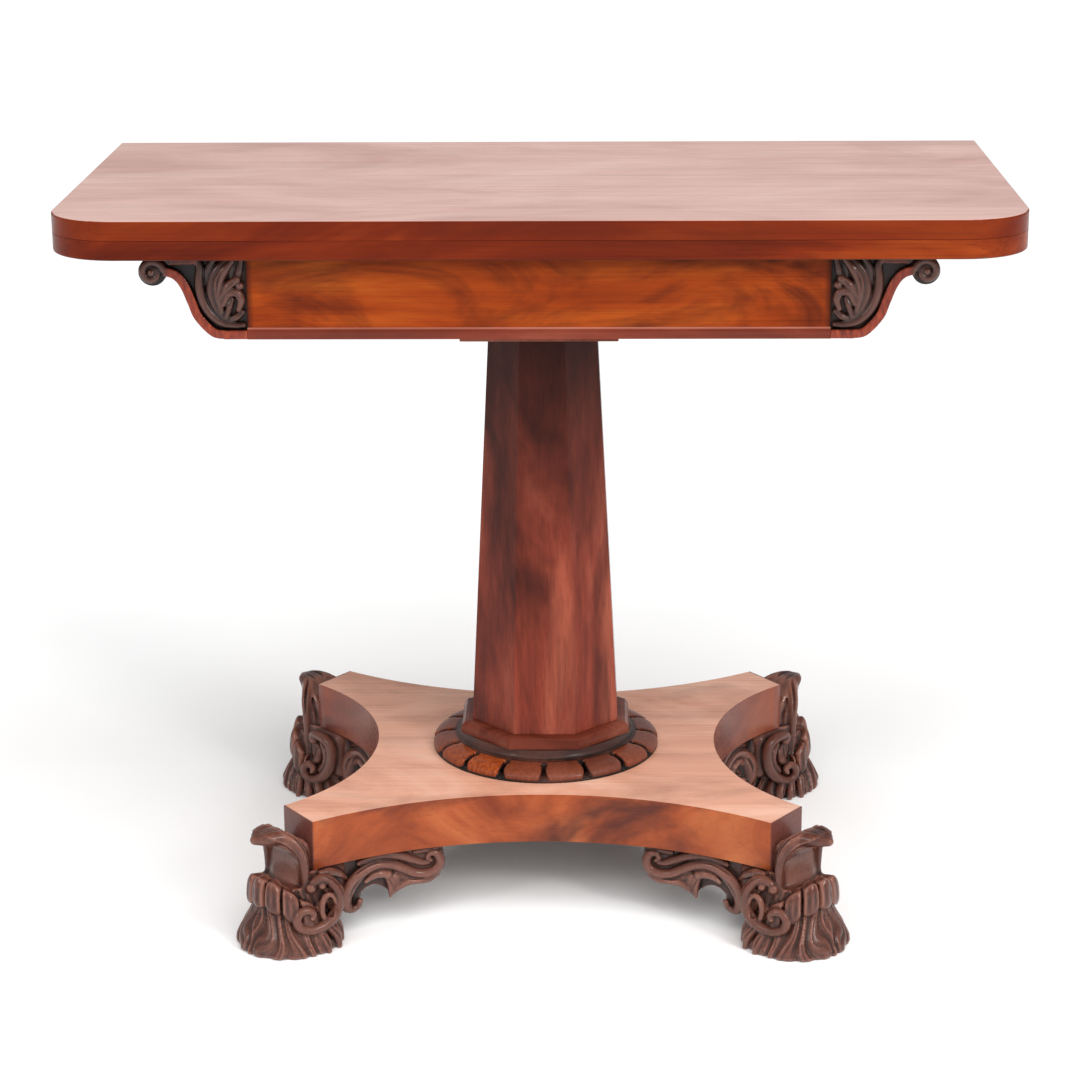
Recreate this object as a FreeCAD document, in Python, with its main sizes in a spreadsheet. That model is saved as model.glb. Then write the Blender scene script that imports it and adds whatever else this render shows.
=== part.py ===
import FreeCAD
import Part
import Sketcher

import math
import operator
import os

# Mahogany fold-over tea table on an octagonal column and a four-footed platform.
# The double top turns a quarter turn on an iron pivot, then its upper leaf folds out on two butt hinges.
# Frame: origin on the floor under the column, +X right along the top, +Y to the back, +Z up, millimetres.

SIZES = {
    # double top
    "table_height": 728,
    "top_width": 914,
    "top_depth": 458,
    "leaf_thickness": 18.3,
    "leaf_gap": 0.4,
    "leaf_corner_radius": 66,
    "leaf_edge_round": 2,
    "swivel_gap": 0.5,
    # butt hinges in the back edge
    "hinge_inset": 95,
    "hinge_length": 66,
    "hinge_plate_width": 14,
    "hinge_plate_thickness": 2.4,
    "barrel_radius": 3.8,
    "hinge_pin_radius": 1.6,
    "pin_clearance": 0.05,
    "knuckle_gap": 0.3,
    "barrel_clearance": 0.5,
    # pivot and stops
    "pivot_plate_width": 90,
    "pivot_plate_thickness": 4,
    "pivot_bolt_radius": 8,
    "pivot_clearance": 0.05,
    "pivot_washer_radius": 20,
    "pivot_washer_thickness": 3,
    "pivot_nut_width": 28,
    "pivot_nut_height": 10,
    "pivot_bolt_tail": 3,
    "pivot_bearer_width": 120,
    "pivot_bearer_thickness": 24,
    "pivot_bearer_drop": 12,
    "stop_reach": 52,
    "stop_peg_radius": 5,
    "stop_peg_length": 10,
    "stop_peg_depth": 8,
    "stop_block_width": 16,
    "stop_block_height": 10,
    "stop_gap": 0.3,
    # frieze box
    "end_overhang": 185,
    "side_overhang": 27,
    "frieze_height": 78.5,
    "rail_thickness": 20,
    "bead_height": 10.5,
    "bead_projection": 4,
    "well_floor_thickness": 8,
    "well_floor_lift": 2,
    "corner_block_leg": 16,
    # scroll brackets
    "bracket_thickness": 34,
    "bracket_foot": 21,
    "bracket_reach": 86.5,
    "volute_radius": 14.5,
    "volute_proud": 1.5,
    "scroll_lower_radius": 30,
    "scroll_upper_radius": 20,
    "scroll_lean": 68,
    "scroll_entry": 3,
    "rim_width": 8.5,
    "field_depth": 7,
    "field_margin": 4,
    "bracket_lobe_height": 4.5,
    "bracket_eye_radius": 5,
    "bracket_eye_proud": 2,
    # column, its bearer and mouldings
    "bearer_width": 150,
    "bearer_thickness": 28,
    "bearer_drop": 8,
    "column_top_width": 106.5,
    "column_foot_width": 150.6,
    "tenon_radius": 30,
    "tenon_clearance": 0.1,
    "tenon_depth": 40,
    "octagon_width": 174,
    "octagon_height": 12.5,
    "octagon_lip": 3.5,
    "octagon_top_ledge": 4,
    # carved collar
    "collar_radius": 118,
    "collar_height": 24.5,
    "collar_lip": 3,
    "petal_count": 16,
    "petal_height": 14.5,
    "petal_top_radius": 94,
    "petal_slit_width": 3,
    "petal_slit_root": 99,
    "petal_chamfer": 7,
    "neck_radius": 88,
    "neck_flare": 5,
    # platform
    "foot_height": 79,
    "platform_thickness": 51,
    "corner_x": 241.75,
    "corner_y": 197.5,
    "facet_half_x": 16.05,
    "facet_half_y": 21.5,
    "waist_x": 177,
    "waist_y": 146.5,
    # carved feet
    "foot_turn": 45,
    "paw_offset": 15,
    "paw_radius": 49,
    "paw_core_inset": 5,
    "ankle_radius": 27,
    "ankle_height": 44,
    "ankle_top": 64,
    "paw_lean": 18,
    "paw_lobe_half": 7.5,
    "paw_lobe_tip": 3.5,
    "cuff_height": 46,
    "cuff_radius": 34,
    "cuff_band": 9,
    "cuff_proud": 3,
    "cuff_tilt": 30,
    "cuff_leaf_height": 30,
    "cuff_leaf_half": 6.5,
    "cuff_leaf_tip": 2.5,
    "shield_width": 60,
    "shield_foot_width": 56,
    "shield_foot": 52,
    "shield_shoulder": 92,
    "shield_drop": 4,
    "shield_thickness": 17,
    "shield_curl": 10,
    "shield_curl_reach": 54,
    "shield_hollow_radius": 44,
    "shield_hollow_depth": 7,
    "foot_block_width": 66,
    "foot_block_length": 52,
    "foot_block_foot": 20,
    "scroll_radius": 20,
    "scroll_roll": 5.5,
    "scroll_offset": 42,
    "scroll_height": 48,
    "scroll_width": 9,
    "scroll_eye_radius": 12,
    "scroll_knob_radius": 8,
    "scroll_eye_proud": 2,
    # leaf wings under the platform
    "wing_front_length": 127,
    "wing_side_length": 105,
    "wing_drop": 60,
    "wing_thickness": 24,
    "wing_inset": 2,
    "wing_roll": 18,
}

OPERATIONS = {"+": operator.add, "-": operator.sub, "*": operator.mul, "/": operator.truediv}
UP = FreeCAD.Vector(0, 0, 1)
ACROSS = FreeCAD.Vector(1, 0, 0)
BACK = FreeCAD.Vector(0, 1, 0)
AXIS_TURNS = {
    "x": FreeCAD.Rotation(BACK, 90),
    "y": FreeCAD.Rotation(ACROSS, -90),
    "z": FreeCAD.Rotation(),
}
PLANE_TURNS = {
    "xy": FreeCAD.Rotation(),
    "xz": FreeCAD.Rotation(ACROSS, 90),
    "yz": FreeCAD.Rotation(FreeCAD.Vector(1, 1, 1), 120),
}
RIB_UPRIGHT = FreeCAD.Rotation(ACROSS, 90) * FreeCAD.Rotation(BACK, 45)
OCTAGON_SIDES = 8
HALF_FACET = 180 / OCTAGON_SIDES
ROUND_ANGLES = (30, 60, 90)
PAW_LOBES = 11
PAW_SPREAD = 125
CUFF_LEAVES = 7
CUFF_SPREAD = 100
SCROLL_OPENING = 110
# bracket leaf: direction of each lobe in degrees, and its length as a share of the field
BRACKET_LOBES = ((68, 0.95), (92, 0.85), (118, 0.72), (146, 0.42))
# radius of a lobe's sides as a share of its length
LOBE_BOW = 1.3
# wing outline from its tip to the foot: share of the length, share of the drop
WING_SHARES = (
    (0.29, 0.66), (0.43, 0.85), (0.56, 0.6), (0.66, 0.74), (0.7, 0.98), (0.8, 0.92), (1.0, 0.8), (1.0, 0.0),
)

doc = FreeCAD.newDocument("tea_table")
sheet = doc.addObject("Spreadsheet::Sheet", "Sizes")
for row, (alias, number) in enumerate(SIZES.items(), start=1):
    sheet.set(f"A{row}", alias)
    sheet.set(f"B{row}", str(number))
    sheet.setAlias(f"B{row}", alias)
doc.recompute()


class Size:
    """A value worked out from the sheet: its number now, and the expression that keeps it current."""

    def __init__(self, number, text):
        self.number = number
        self.text = text

    def __add__(self, other):
        return combine(self, "+", other)

    def __radd__(self, other):
        return combine(other, "+", self)

    def __sub__(self, other):
        return combine(self, "-", other)

    def __rsub__(self, other):
        return combine(other, "-", self)

    def __mul__(self, other):
        return combine(self, "*", other)

    def __rmul__(self, other):
        return combine(other, "*", self)

    def __truediv__(self, other):
        return combine(self, "/", other)

    def __neg__(self):
        return combine(0, "-", self)


def as_size(value):
    return value if isinstance(value, Size) else Size(float(value), repr(float(value)))


def combine(left, sign, right):
    left, right = as_size(left), as_size(right)
    number = OPERATIONS[sign](left.number, right.number)
    return Size(number, f"({left.text} {sign} {right.text})")


def sine(angle):
    angle = as_size(angle)
    return Size(math.sin(math.radians(angle.number)), f"sin({angle.text})")


def cosine(angle):
    angle = as_size(angle)
    return Size(math.cos(math.radians(angle.number)), f"cos({angle.text})")


class Sheet:
    """Gives each named cell as a Size."""

    def __getattr__(self, alias):
        return Size(float(SIZES[alias]), f"Sizes.{alias}")


dim = Sheet()

# levels, from the top down and from the floor up
UPPER_LEAF_Z = dim.table_height - dim.leaf_thickness
LOWER_LEAF_Z = UPPER_LEAF_Z - dim.leaf_gap - dim.leaf_thickness
HINGE_Y = dim.top_depth / 2
HINGE_Z = UPPER_LEAF_Z - dim.leaf_gap / 2
LEAF_BACK = HINGE_Y - dim.leaf_gap / 2
FRIEZE_TOP = LOWER_LEAF_Z - dim.swivel_gap
FRIEZE_BOTTOM = FRIEZE_TOP - dim.frieze_height
BEARER_BOTTOM = FRIEZE_BOTTOM - dim.bearer_drop
BEARER_TOP = BEARER_BOTTOM + dim.bearer_thickness
PLATFORM_TOP = dim.foot_height + dim.platform_thickness
COLLAR_TOP = PLATFORM_TOP + dim.collar_height
COLUMN_FOOT = COLLAR_TOP + dim.octagon_height

# plan positions
PIVOT = dim.top_depth / 4
FRIEZE_X = dim.top_width / 2 - dim.end_overhang
FRIEZE_Y = dim.top_depth / 2 - dim.side_overhang
WELL_X = FRIEZE_X - dim.rail_thickness
WELL_Y = FRIEZE_Y - dim.rail_thickness
PIVOT_BEARER_TOP = FRIEZE_TOP - dim.pivot_bearer_drop
PIVOT_BEARER_BOTTOM = PIVOT_BEARER_TOP - dim.pivot_bearer_thickness
TENON_BORE = dim.tenon_radius + dim.tenon_clearance
CORNER_LONG_X = dim.corner_x + dim.facet_half_x
CORNER_SHORT_X = dim.corner_x - dim.facet_half_x
CORNER_LONG_Y = dim.corner_y + dim.facet_half_y
CORNER_SHORT_Y = dim.corner_y - dim.facet_half_y
LONG_HOLLOW = CORNER_LONG_Y - dim.waist_y
SIDE_HOLLOW = CORNER_LONG_X - dim.waist_x
LONG_ARC = (CORNER_SHORT_X * CORNER_SHORT_X + LONG_HOLLOW * LONG_HOLLOW) / (LONG_HOLLOW * 2)
SIDE_ARC = (CORNER_SHORT_Y * CORNER_SHORT_Y + SIDE_HOLLOW * SIDE_HOLLOW) / (SIDE_HOLLOW * 2)

pieces = []


def bind(item, path, value):
    item.setExpression(path, as_size(value).text)


def locate(item, x=0, y=0, z=0):
    for axis, value in zip("xyz", (x, y, z)):
        bind(item, f"Placement.Base.{axis}", value)
    return item


def turn(item, axis, angle):
    item.Placement = FreeCAD.Placement(item.Placement.Base, FreeCAD.Rotation(axis, angle))
    return item


def piece(item, label):
    item.Label = label
    pieces.append(item)
    return item


def box(name, x_span, y_span, z_span):
    block = doc.addObject("Part::Box", name)
    for side, span in zip(("Length", "Width", "Height"), (x_span, y_span, z_span)):
        bind(block, side, span[1] - span[0])
    return locate(block, x_span[0], y_span[0], z_span[0])


def rod(name, radius, start, length, axis="z"):
    cylinder = doc.addObject("Part::Cylinder", name)
    cylinder.Placement = FreeCAD.Placement(FreeCAD.Vector(), AXIS_TURNS[axis])
    bind(cylinder, "Radius", radius)
    bind(cylinder, "Height", length)
    return locate(cylinder, *start)


def ridge(name, half_low, half_high, start, length, way):
    """Square-sectioned tapered rib with one edge outwards, its foot's middle at start."""
    rib = doc.addObject("Part::Wedge", name)
    for side in "XZ":
        bind(rib, side + "min", -half_low)
        bind(rib, side + "max", half_low)
        bind(rib, side + "2min", -half_high)
        bind(rib, side + "2max", half_high)
    bind(rib, "Ymin", 0)
    bind(rib, "Ymax", length)
    rib.Placement.Rotation = way * RIB_UPRIGHT
    return locate(rib, *start)


def fuse(name, items):
    union = doc.addObject("Part::MultiFuse", name)
    union.Shapes = items
    return union


def chain(name, items):
    """Union made one item at a time."""
    whole = items[0]
    for number, item in enumerate(items[1:], start=1):
        joined = doc.addObject("Part::Fuse", f"{name}_{number}")
        joined.Base = whole
        joined.Tool = item
        whole = joined
    return whole


def common(name, items):
    overlap = doc.addObject("Part::MultiCommon", name)
    overlap.Shapes = items
    return overlap


def cut(name, base, tools):
    difference = doc.addObject("Part::Cut", name)
    difference.Base = base
    difference.Tool = tools[0] if len(tools) == 1 else fuse(name + "_tools", tools)
    return difference


def mirrored(name, source, normal):
    copy = doc.addObject("Part::Mirroring", name)
    copy.Source = source
    copy.Normal = normal
    return copy


def group(name, items):
    compound = doc.addObject("Part::Compound", name)
    compound.Links = items
    return compound


def free_sketch(name, plane):
    sketch = doc.addObject("Sketcher::SketchObject", name)
    sketch.Placement = FreeCAD.Placement(FreeCAD.Vector(), PLANE_TURNS[plane])
    return sketch


def body_sketch(body, name, plane):
    sketch = body.newObject("Sketcher::SketchObject", name)
    support = next(feature for feature in body.Origin.OriginFeatures if feature.Role == plane)
    sketch.AttachmentSupport = [(support, "")]
    sketch.MapMode = "FlatFace"
    return sketch


def extrude(name, sketch, direction, length, symmetric=False):
    solid = doc.addObject("Part::Extrusion", name)
    solid.Base = sketch
    solid.DirMode = "Custom"
    solid.Dir = direction
    solid.Solid = True
    solid.Symmetric = symmetric
    bind(solid, "LengthFwd", length)
    return solid


def arc_middle(start, end, radius, side):
    """Middle of the short arc from start to end whose centre lies left (+1) or right (-1) of the way."""
    chord = end - start
    left = FreeCAD.Vector(-chord.y, chord.x, 0).normalize()
    rise = math.sqrt(max(radius**2 - (chord.Length / 2) ** 2, 0))
    return (start + end) * 0.5 + left * (side * (rise - radius))


def outline(sketch, corners, arcs=None):
    """Closed outline through sized corners; arcs gives (radius, side) of the run after a corner's index."""
    arcs = arcs or {}
    points = [FreeCAD.Vector(as_size(x).number, as_size(y).number, 0) for x, y in corners]
    ends = []
    for index, start in enumerate(points):
        end = points[(index + 1) % len(points)]
        if index in arcs:
            radius, side = as_size(arcs[index][0]), arcs[index][1]
            middle = arc_middle(start, end, radius.number, side)
            run = sketch.addGeometry(Part.Arc(start, middle, end))
            to_start = [sketch.getPoint(run, end_number).distanceToPoint(start) for end_number in (1, 2)]
            first = 1 if to_start[0] < to_start[1] else 2
        else:
            run = sketch.addGeometry(Part.LineSegment(start, end))
            first = 1
        ends.append((run, first, 3 - first))
    for index, (run, first, _) in enumerate(ends):
        before, _, last = ends[index - 1]
        sketch.addConstraint(Sketcher.Constraint("Coincident", before, last, run, first))
        for kind, value in zip(("DistanceX", "DistanceY"), corners[index]):
            value = as_size(value)
            number = sketch.addConstraint(Sketcher.Constraint(kind, -1, 1, run, first, value.number))
            sketch.setExpression(f"Constraints[{number}]", value.text)
        if index in arcs:
            radius = as_size(arcs[index][0])
            number = sketch.addConstraint(Sketcher.Constraint("Radius", run, radius.number))
            sketch.setExpression(f"Constraints[{number}]", radius.text)
    return sketch


def padded(body, sketch, length):
    pad = body.newObject("PartDesign::Pad", body.Name + "_pad")
    pad.Profile = sketch
    bind(pad, "Length", length)
    return pad


def leaf_board(name, bottom, rounded_top):
    """One leaf of the top: square at the back, round at the front corners, eased along the outer edge."""
    body = doc.addObject("PartDesign::Body", name)
    half_width = dim.top_width / 2
    front = -HINGE_Y
    corner = dim.leaf_corner_radius
    sketch = body_sketch(body, name + "_outline", "XY_Plane")
    outline(
        sketch,
        [
            (half_width, LEAF_BACK),
            (-half_width, LEAF_BACK),
            (-half_width, front + corner),
            (corner - half_width, front),
            (half_width - corner, front),
            (half_width, front + corner),
        ],
        {2: (corner, 1), 4: (corner, 1)},
    )
    pad = padded(body, sketch, dim.leaf_thickness)
    doc.recompute()
    level = dim.leaf_thickness.number if rounded_top else 0
    eased = []
    for number, edge in enumerate(pad.Shape.Edges, start=1):
        flat = abs(edge.BoundBox.ZMin - level) + abs(edge.BoundBox.ZMax - level) < 0.01
        if flat and edge.BoundBox.YMin < LEAF_BACK.number - 1:
            eased.append(f"Edge{number}")
    fillet = body.newObject("PartDesign::Fillet", name + "_eased")
    fillet.Base = (pad, eased)
    bind(fillet, "Radius", dim.leaf_edge_round)
    body.Tip = fillet
    return locate(body, z=bottom)


def hinge(side, word):
    """Butt hinge let into the back edges of both leaves, its barrel on the line where the leaves meet."""
    centre = side * (dim.top_width / 2 - dim.hinge_inset)
    start = centre - dim.hinge_length / 2
    third = dim.hinge_length / 3
    plate_front = LEAF_BACK - dim.hinge_plate_thickness
    hole_radius = dim.hinge_pin_radius + dim.pin_clearance
    notch_radius = dim.barrel_radius + dim.barrel_clearance
    span = (start, start + dim.hinge_length)
    axis_y, axis_z = HINGE_Y, HINGE_Z

    def barrel(name, radius, low, high):
        return rod(name, radius, (low, axis_y, axis_z), high - low, "x")

    first_end = start + third
    last_start = start + third * 2
    reach = {
        "lower": (HINGE_Z - dim.hinge_plate_width, LOWER_LEAF_Z + dim.leaf_thickness),
        "upper": (UPPER_LEAF_Z, HINGE_Z + dim.hinge_plate_width),
    }
    knuckle_spans = {
        "lower": [(start, first_end), (last_start, span[1])],
        "upper": [(first_end + dim.knuckle_gap, last_start - dim.knuckle_gap)],
    }
    notch_spans = {"lower": knuckle_spans["upper"], "upper": knuckle_spans["lower"]}
    recesses = {}
    for half in ("lower", "upper"):
        name = f"hinge_{word}_{half}"
        blank = box(name + "_blank", span, (plate_front, LEAF_BACK), reach[half])
        notches = [
            barrel(f"{name}_notch_{i}", notch_radius, low - dim.knuckle_gap, high + dim.knuckle_gap)
            for i, (low, high) in enumerate(notch_spans[half])
        ]
        knuckles = [
            barrel(f"{name}_knuckle_{i}", dim.barrel_radius, low, high)
            for i, (low, high) in enumerate(knuckle_spans[half])
        ]
        body = fuse(name + "_body", [cut(name + "_notched", blank, notches)] + knuckles)
        hole = barrel(name + "_hole", hole_radius, span[0], span[1])
        piece(cut(name, body, [hole]), f"{name}_plate")
        seat = box(name + "_seat", span, (plate_front, HINGE_Y), reach[half])
        room = barrel(name + "_room", notch_radius, span[0], span[1])
        recesses[half] = [seat, room]
    pin = barrel(f"hinge_{word}_pin_rod", dim.hinge_pin_radius, span[0], span[1])
    piece(pin, f"hinge_{word}_pin")
    return recesses


def double_top():
    """Both leaves with their hinges, and the iron pivot and stop peg under the lower leaf."""
    recesses = {"lower": [], "upper": []}
    for side, word in ((-1, "left"), (1, "right")):
        for half, tools in hinge(side, word).items():
            recesses[half] += tools
    upper = leaf_board("upper_board", UPPER_LEAF_Z, True)
    piece(cut("upper_leaf_cut", upper, recesses["upper"]), "upper_leaf")

    half_plate = dim.pivot_plate_width / 2
    plate_top = LOWER_LEAF_Z + dim.pivot_plate_thickness
    span = (PIVOT - half_plate, PIVOT + half_plate)
    plate = box("pivot_plate_blank", span, span, (LOWER_LEAF_Z, plate_top))
    washer_top = PIVOT_BEARER_BOTTOM - dim.swivel_gap
    washer_bottom = washer_top - dim.pivot_washer_thickness
    nut_bottom = washer_bottom - dim.pivot_nut_height
    bolt_bottom = nut_bottom - dim.pivot_bolt_tail
    bolt = rod("bolt", dim.pivot_bolt_radius, (PIVOT, PIVOT, bolt_bottom), plate_top - bolt_bottom)
    piece(bolt, "pivot_bolt")
    piece(cut("pivot_plate_cut", plate, [bolt]), "pivot_plate")
    washer = rod("washer_disc", dim.pivot_washer_radius, (PIVOT, PIVOT, washer_bottom),
                 dim.pivot_washer_thickness)
    piece(cut("washer", washer, [bolt]), "pivot_washer")
    half_nut = dim.pivot_nut_width / 2
    nut_span = (PIVOT - half_nut, PIVOT + half_nut)
    nut = box("nut_block", nut_span, nut_span, (nut_bottom, washer_bottom))
    piece(cut("nut", nut, [bolt]), "pivot_nut")

    peg_bottom = LOWER_LEAF_Z - dim.stop_peg_length
    peg = rod("peg", dim.stop_peg_radius, (PIVOT, PIVOT - dim.stop_reach, peg_bottom),
              dim.stop_peg_length + dim.stop_peg_depth)
    piece(peg, "stop_peg")
    lower = leaf_board("lower_board", LOWER_LEAF_Z, False)
    piece(cut("lower_leaf_cut", lower, recesses["lower"] + [plate, peg]), "lower_leaf")


def frieze():
    """Open box of four rails with the well's floor, glue blocks, column bearer, pivot bearer and stops."""
    height = (FRIEZE_BOTTOM, FRIEZE_TOP)
    piece(box("rail_front", (-FRIEZE_X, FRIEZE_X), (-FRIEZE_Y, -WELL_Y), height), "frieze_front")
    piece(box("rail_back", (-FRIEZE_X, FRIEZE_X), (WELL_Y, FRIEZE_Y), height), "frieze_back")
    piece(box("rail_left", (-FRIEZE_X, -WELL_X), (-WELL_Y, WELL_Y), height), "frieze_end_left")
    piece(box("rail_right", (WELL_X, FRIEZE_X), (-WELL_Y, WELL_Y), height), "frieze_end_right")

    bead = free_sketch("bead_profile", "yz")
    outline(
        bead,
        [
            (-FRIEZE_Y, FRIEZE_BOTTOM),
            (-FRIEZE_Y, FRIEZE_BOTTOM + dim.bead_height),
            (-FRIEZE_Y - dim.bead_projection, FRIEZE_BOTTOM + dim.bead_height - dim.bead_projection),
            (-FRIEZE_Y - dim.bead_projection, FRIEZE_BOTTOM),
        ],
        {1: (dim.bead_projection, 1)},
    )
    piece(extrude("bead", bead, ACROSS, FRIEZE_X * 2, symmetric=True), "frieze_bead")

    half_bearer = dim.bearer_width / 2
    bearer = box("bearer_board", (-half_bearer, half_bearer), (-WELL_Y, WELL_Y),
                 (BEARER_BOTTOM, BEARER_TOP))
    mortise = rod("bearer_mortise", TENON_BORE, (0, 0, BEARER_BOTTOM), dim.bearer_thickness)
    piece(cut("bearer", bearer, [mortise]), "column_bearer")

    floor_bottom = FRIEZE_BOTTOM + dim.well_floor_lift
    floor_span = (floor_bottom, floor_bottom + dim.well_floor_thickness)
    piece(box("floor_left", (-WELL_X, -half_bearer), (-WELL_Y, WELL_Y), floor_span), "well_floor_left")
    piece(box("floor_right", (half_bearer, WELL_X), (-WELL_Y, WELL_Y), floor_span), "well_floor_right")

    blocks = []
    for name, x, y in (("fl", -1, -1), ("fr", 1, -1), ("br", 1, 1), ("bl", -1, 1)):
        profile = free_sketch("corner_block_profile_" + name, "xy")
        corner = (x * WELL_X, y * WELL_Y)
        outline(
            profile,
            [
                corner,
                (corner[0] - x * dim.corner_block_leg, corner[1]),
                (corner[0], corner[1] - y * dim.corner_block_leg),
            ],
        )
        locate(profile, z=floor_span[1])
        blocks.append(extrude("corner_block_" + name, profile, UP, PIVOT_BEARER_BOTTOM - floor_span[1]))
    piece(group("corner_block_set", blocks), "corner_blocks")

    half_width = dim.pivot_bearer_width / 2
    pivot_board = box("pivot_board", (PIVOT - half_width, PIVOT + half_width), (-WELL_Y, WELL_Y),
                      (PIVOT_BEARER_BOTTOM, PIVOT_BEARER_TOP))
    bore = rod("pivot_bore", dim.pivot_bolt_radius + dim.pivot_clearance,
               (PIVOT, PIVOT, PIVOT_BEARER_BOTTOM), dim.pivot_bearer_thickness)
    piece(cut("pivot_bearer_cut", pivot_board, [bore]), "pivot_bearer")

    half_block = dim.stop_block_width / 2
    block_z = (PIVOT_BEARER_TOP, PIVOT_BEARER_TOP + dim.stop_block_height)
    touch = dim.stop_peg_radius + dim.stop_gap
    closed_x = PIVOT - touch
    closed_y = PIVOT - dim.stop_reach
    piece(box("closed_stop", (closed_x - dim.stop_block_width, closed_x),
              (closed_y - half_block, closed_y + half_block), block_z), "stop_block_closed")
    open_x = PIVOT + dim.stop_reach
    open_y = PIVOT + touch
    piece(box("open_stop", (open_x - half_block, open_x + half_block),
              (open_y, open_y + dim.stop_block_width), block_z), "stop_block_open")


def bracket():
    """Carved scroll corbel at each front corner: an S-shaped rim with a volute, round a sunk leaf field."""
    lean = dim.scroll_lean
    start_x = FRIEZE_X
    foot_x = start_x + dim.bracket_foot
    volute = (FRIEZE_X + dim.bracket_reach, FRIEZE_TOP - dim.volute_radius)
    bend = 1 - cosine(lean)
    lower, upper = dim.scroll_lower_radius, dim.scroll_upper_radius
    entry_z = volute[1] - dim.scroll_entry
    straight_rise = entry_z - FRIEZE_BOTTOM - (lower + upper) * bend
    straight = straight_rise / sine(lean)
    low_end = (foot_x + lower * sine(lean), FRIEZE_BOTTOM + lower * bend)
    high_start = (low_end[0] + straight * cosine(lean), low_end[1] + straight_rise)
    entry = (high_start[0] + upper * sine(lean), entry_z)
    front = -FRIEZE_Y - dim.bead_projection

    profile = free_sketch("bracket_profile", "xz")
    outline(
        profile,
        [(start_x, FRIEZE_BOTTOM), (foot_x, FRIEZE_BOTTOM), low_end, high_start, entry, volute,
         (volute[0], FRIEZE_TOP), (start_x, FRIEZE_TOP)],
        {1: (lower, 1), 3: (upper, -1)},
    )
    locate(profile, y=front)
    plate = extrude("bracket_plate", profile, BACK, dim.bracket_thickness)
    eye = rod("bracket_volute", dim.volute_radius, (volute[0], front - dim.volute_proud, volute[1]),
              dim.bracket_thickness + dim.volute_proud, "y")

    rim = dim.rim_width
    shift = (-rim * sine(lean), rim * cosine(lean))
    margin = dim.field_margin
    field_foot = FRIEZE_BOTTOM + dim.bead_height
    field_top = FRIEZE_TOP - margin
    field = free_sketch("bracket_field_profile", "xz")
    outline(
        field,
        [
            (start_x + margin, field_foot),
            (foot_x, field_foot),
            (low_end[0] + shift[0], low_end[1] + shift[1]),
            (high_start[0] + shift[0], high_start[1] + shift[1]),
            (high_start[0] + rim, field_top),
            (start_x + margin, field_top),
        ],
        {1: (lower, 1), 3: (upper + rim, -1)},
    )
    locate(field, y=front)
    sunk = extrude("bracket_field", field, BACK, dim.field_depth)
    hollowed = cut("bracket_hollowed", fuse("bracket_blank", [plate, eye]), [sunk])

    # leaf lobes fan out of the bottom of the field
    root = (foot_x, field_foot + margin)
    field_height = field_top - field_foot
    lobes = []
    for index, (angle, share) in enumerate(BRACKET_LOBES):
        length = field_height * share
        tip = (root[0] + length * cosine(angle), root[1] + length * sine(angle))
        lens = free_sketch(f"bracket_lobe_profile_{index}", "xz")
        outline(lens, [root, tip], {0: (length * LOBE_BOW, 1), 1: (length * LOBE_BOW, 1)})
        locate(lens, y=front + dim.field_depth - dim.bracket_lobe_height)
        lobes.append(extrude(f"bracket_lobe_{index}", lens, BACK, dim.field_depth))
    leaf_room = extrude("bracket_leaf_room", field, BACK, dim.field_depth * 2)
    leaf = common("bracket_leaf", [fuse("bracket_lobes", lobes), leaf_room])
    boss = rod("bracket_eye", dim.bracket_eye_radius,
               (volute[0], front - dim.volute_proud - dim.bracket_eye_proud, volute[1]),
               dim.volute_proud + dim.bracket_eye_proud, "y")
    right = fuse("bracket_carved", [hollowed, leaf, boss])
    piece(right, "bracket_right")
    piece(mirrored("bracket_mirrored", right, ACROSS), "bracket_left")


def octagon(name, across_flats, level):
    polygon = doc.addObject("Part::RegularPolygon", name)
    polygon.Polygon = OCTAGON_SIDES
    turn(polygon, UP, HALF_FACET)
    bind(polygon, "Circumradius", across_flats / 2 / cosine(HALF_FACET))
    return locate(polygon, z=level)


def octagon_loft(name, sections):
    loft = doc.addObject("Part::Loft", name)
    loft.Sections = [octagon(f"{name}_{i}", width, level) for i, (width, level) in enumerate(sections)]
    loft.Solid = True
    loft.Ruled = True
    return loft


def column():
    """Tapered eight-sided shaft with a round tenon at each end, and the eight-sided ovolo under it."""
    ends = [(dim.column_foot_width, COLUMN_FOOT), (dim.column_top_width, BEARER_BOTTOM)]
    shaft = octagon_loft("shaft", ends)
    tenon_foot = PLATFORM_TOP - dim.tenon_depth
    tenon = rod("column_tenon", dim.tenon_radius, (0, 0, tenon_foot), BEARER_TOP - tenon_foot)
    piece(fuse("column_whole", [shaft, tenon]), "column")

    ledge = dim.column_foot_width + dim.octagon_top_ledge * 2
    swell = dim.octagon_width - ledge
    rise = dim.octagon_height - dim.octagon_lip
    sections = [(dim.octagon_width, COLLAR_TOP + dim.octagon_lip)]
    for angle in ROUND_ANGLES:
        sections.append((ledge + swell * cosine(angle), COLLAR_TOP + dim.octagon_lip + rise * sine(angle)))
    ovolo = octagon_loft("ovolo", sections)
    lip = octagon_loft("ovolo_lip", [(dim.octagon_width, COLLAR_TOP), sections[0]])
    bore = rod("ovolo_bore", TENON_BORE, (0, 0, COLLAR_TOP), dim.octagon_height)
    piece(cut("octagon_ring", fuse("octagon_blank", [lip, ovolo]), [bore]), "octagon_moulding")


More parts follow.
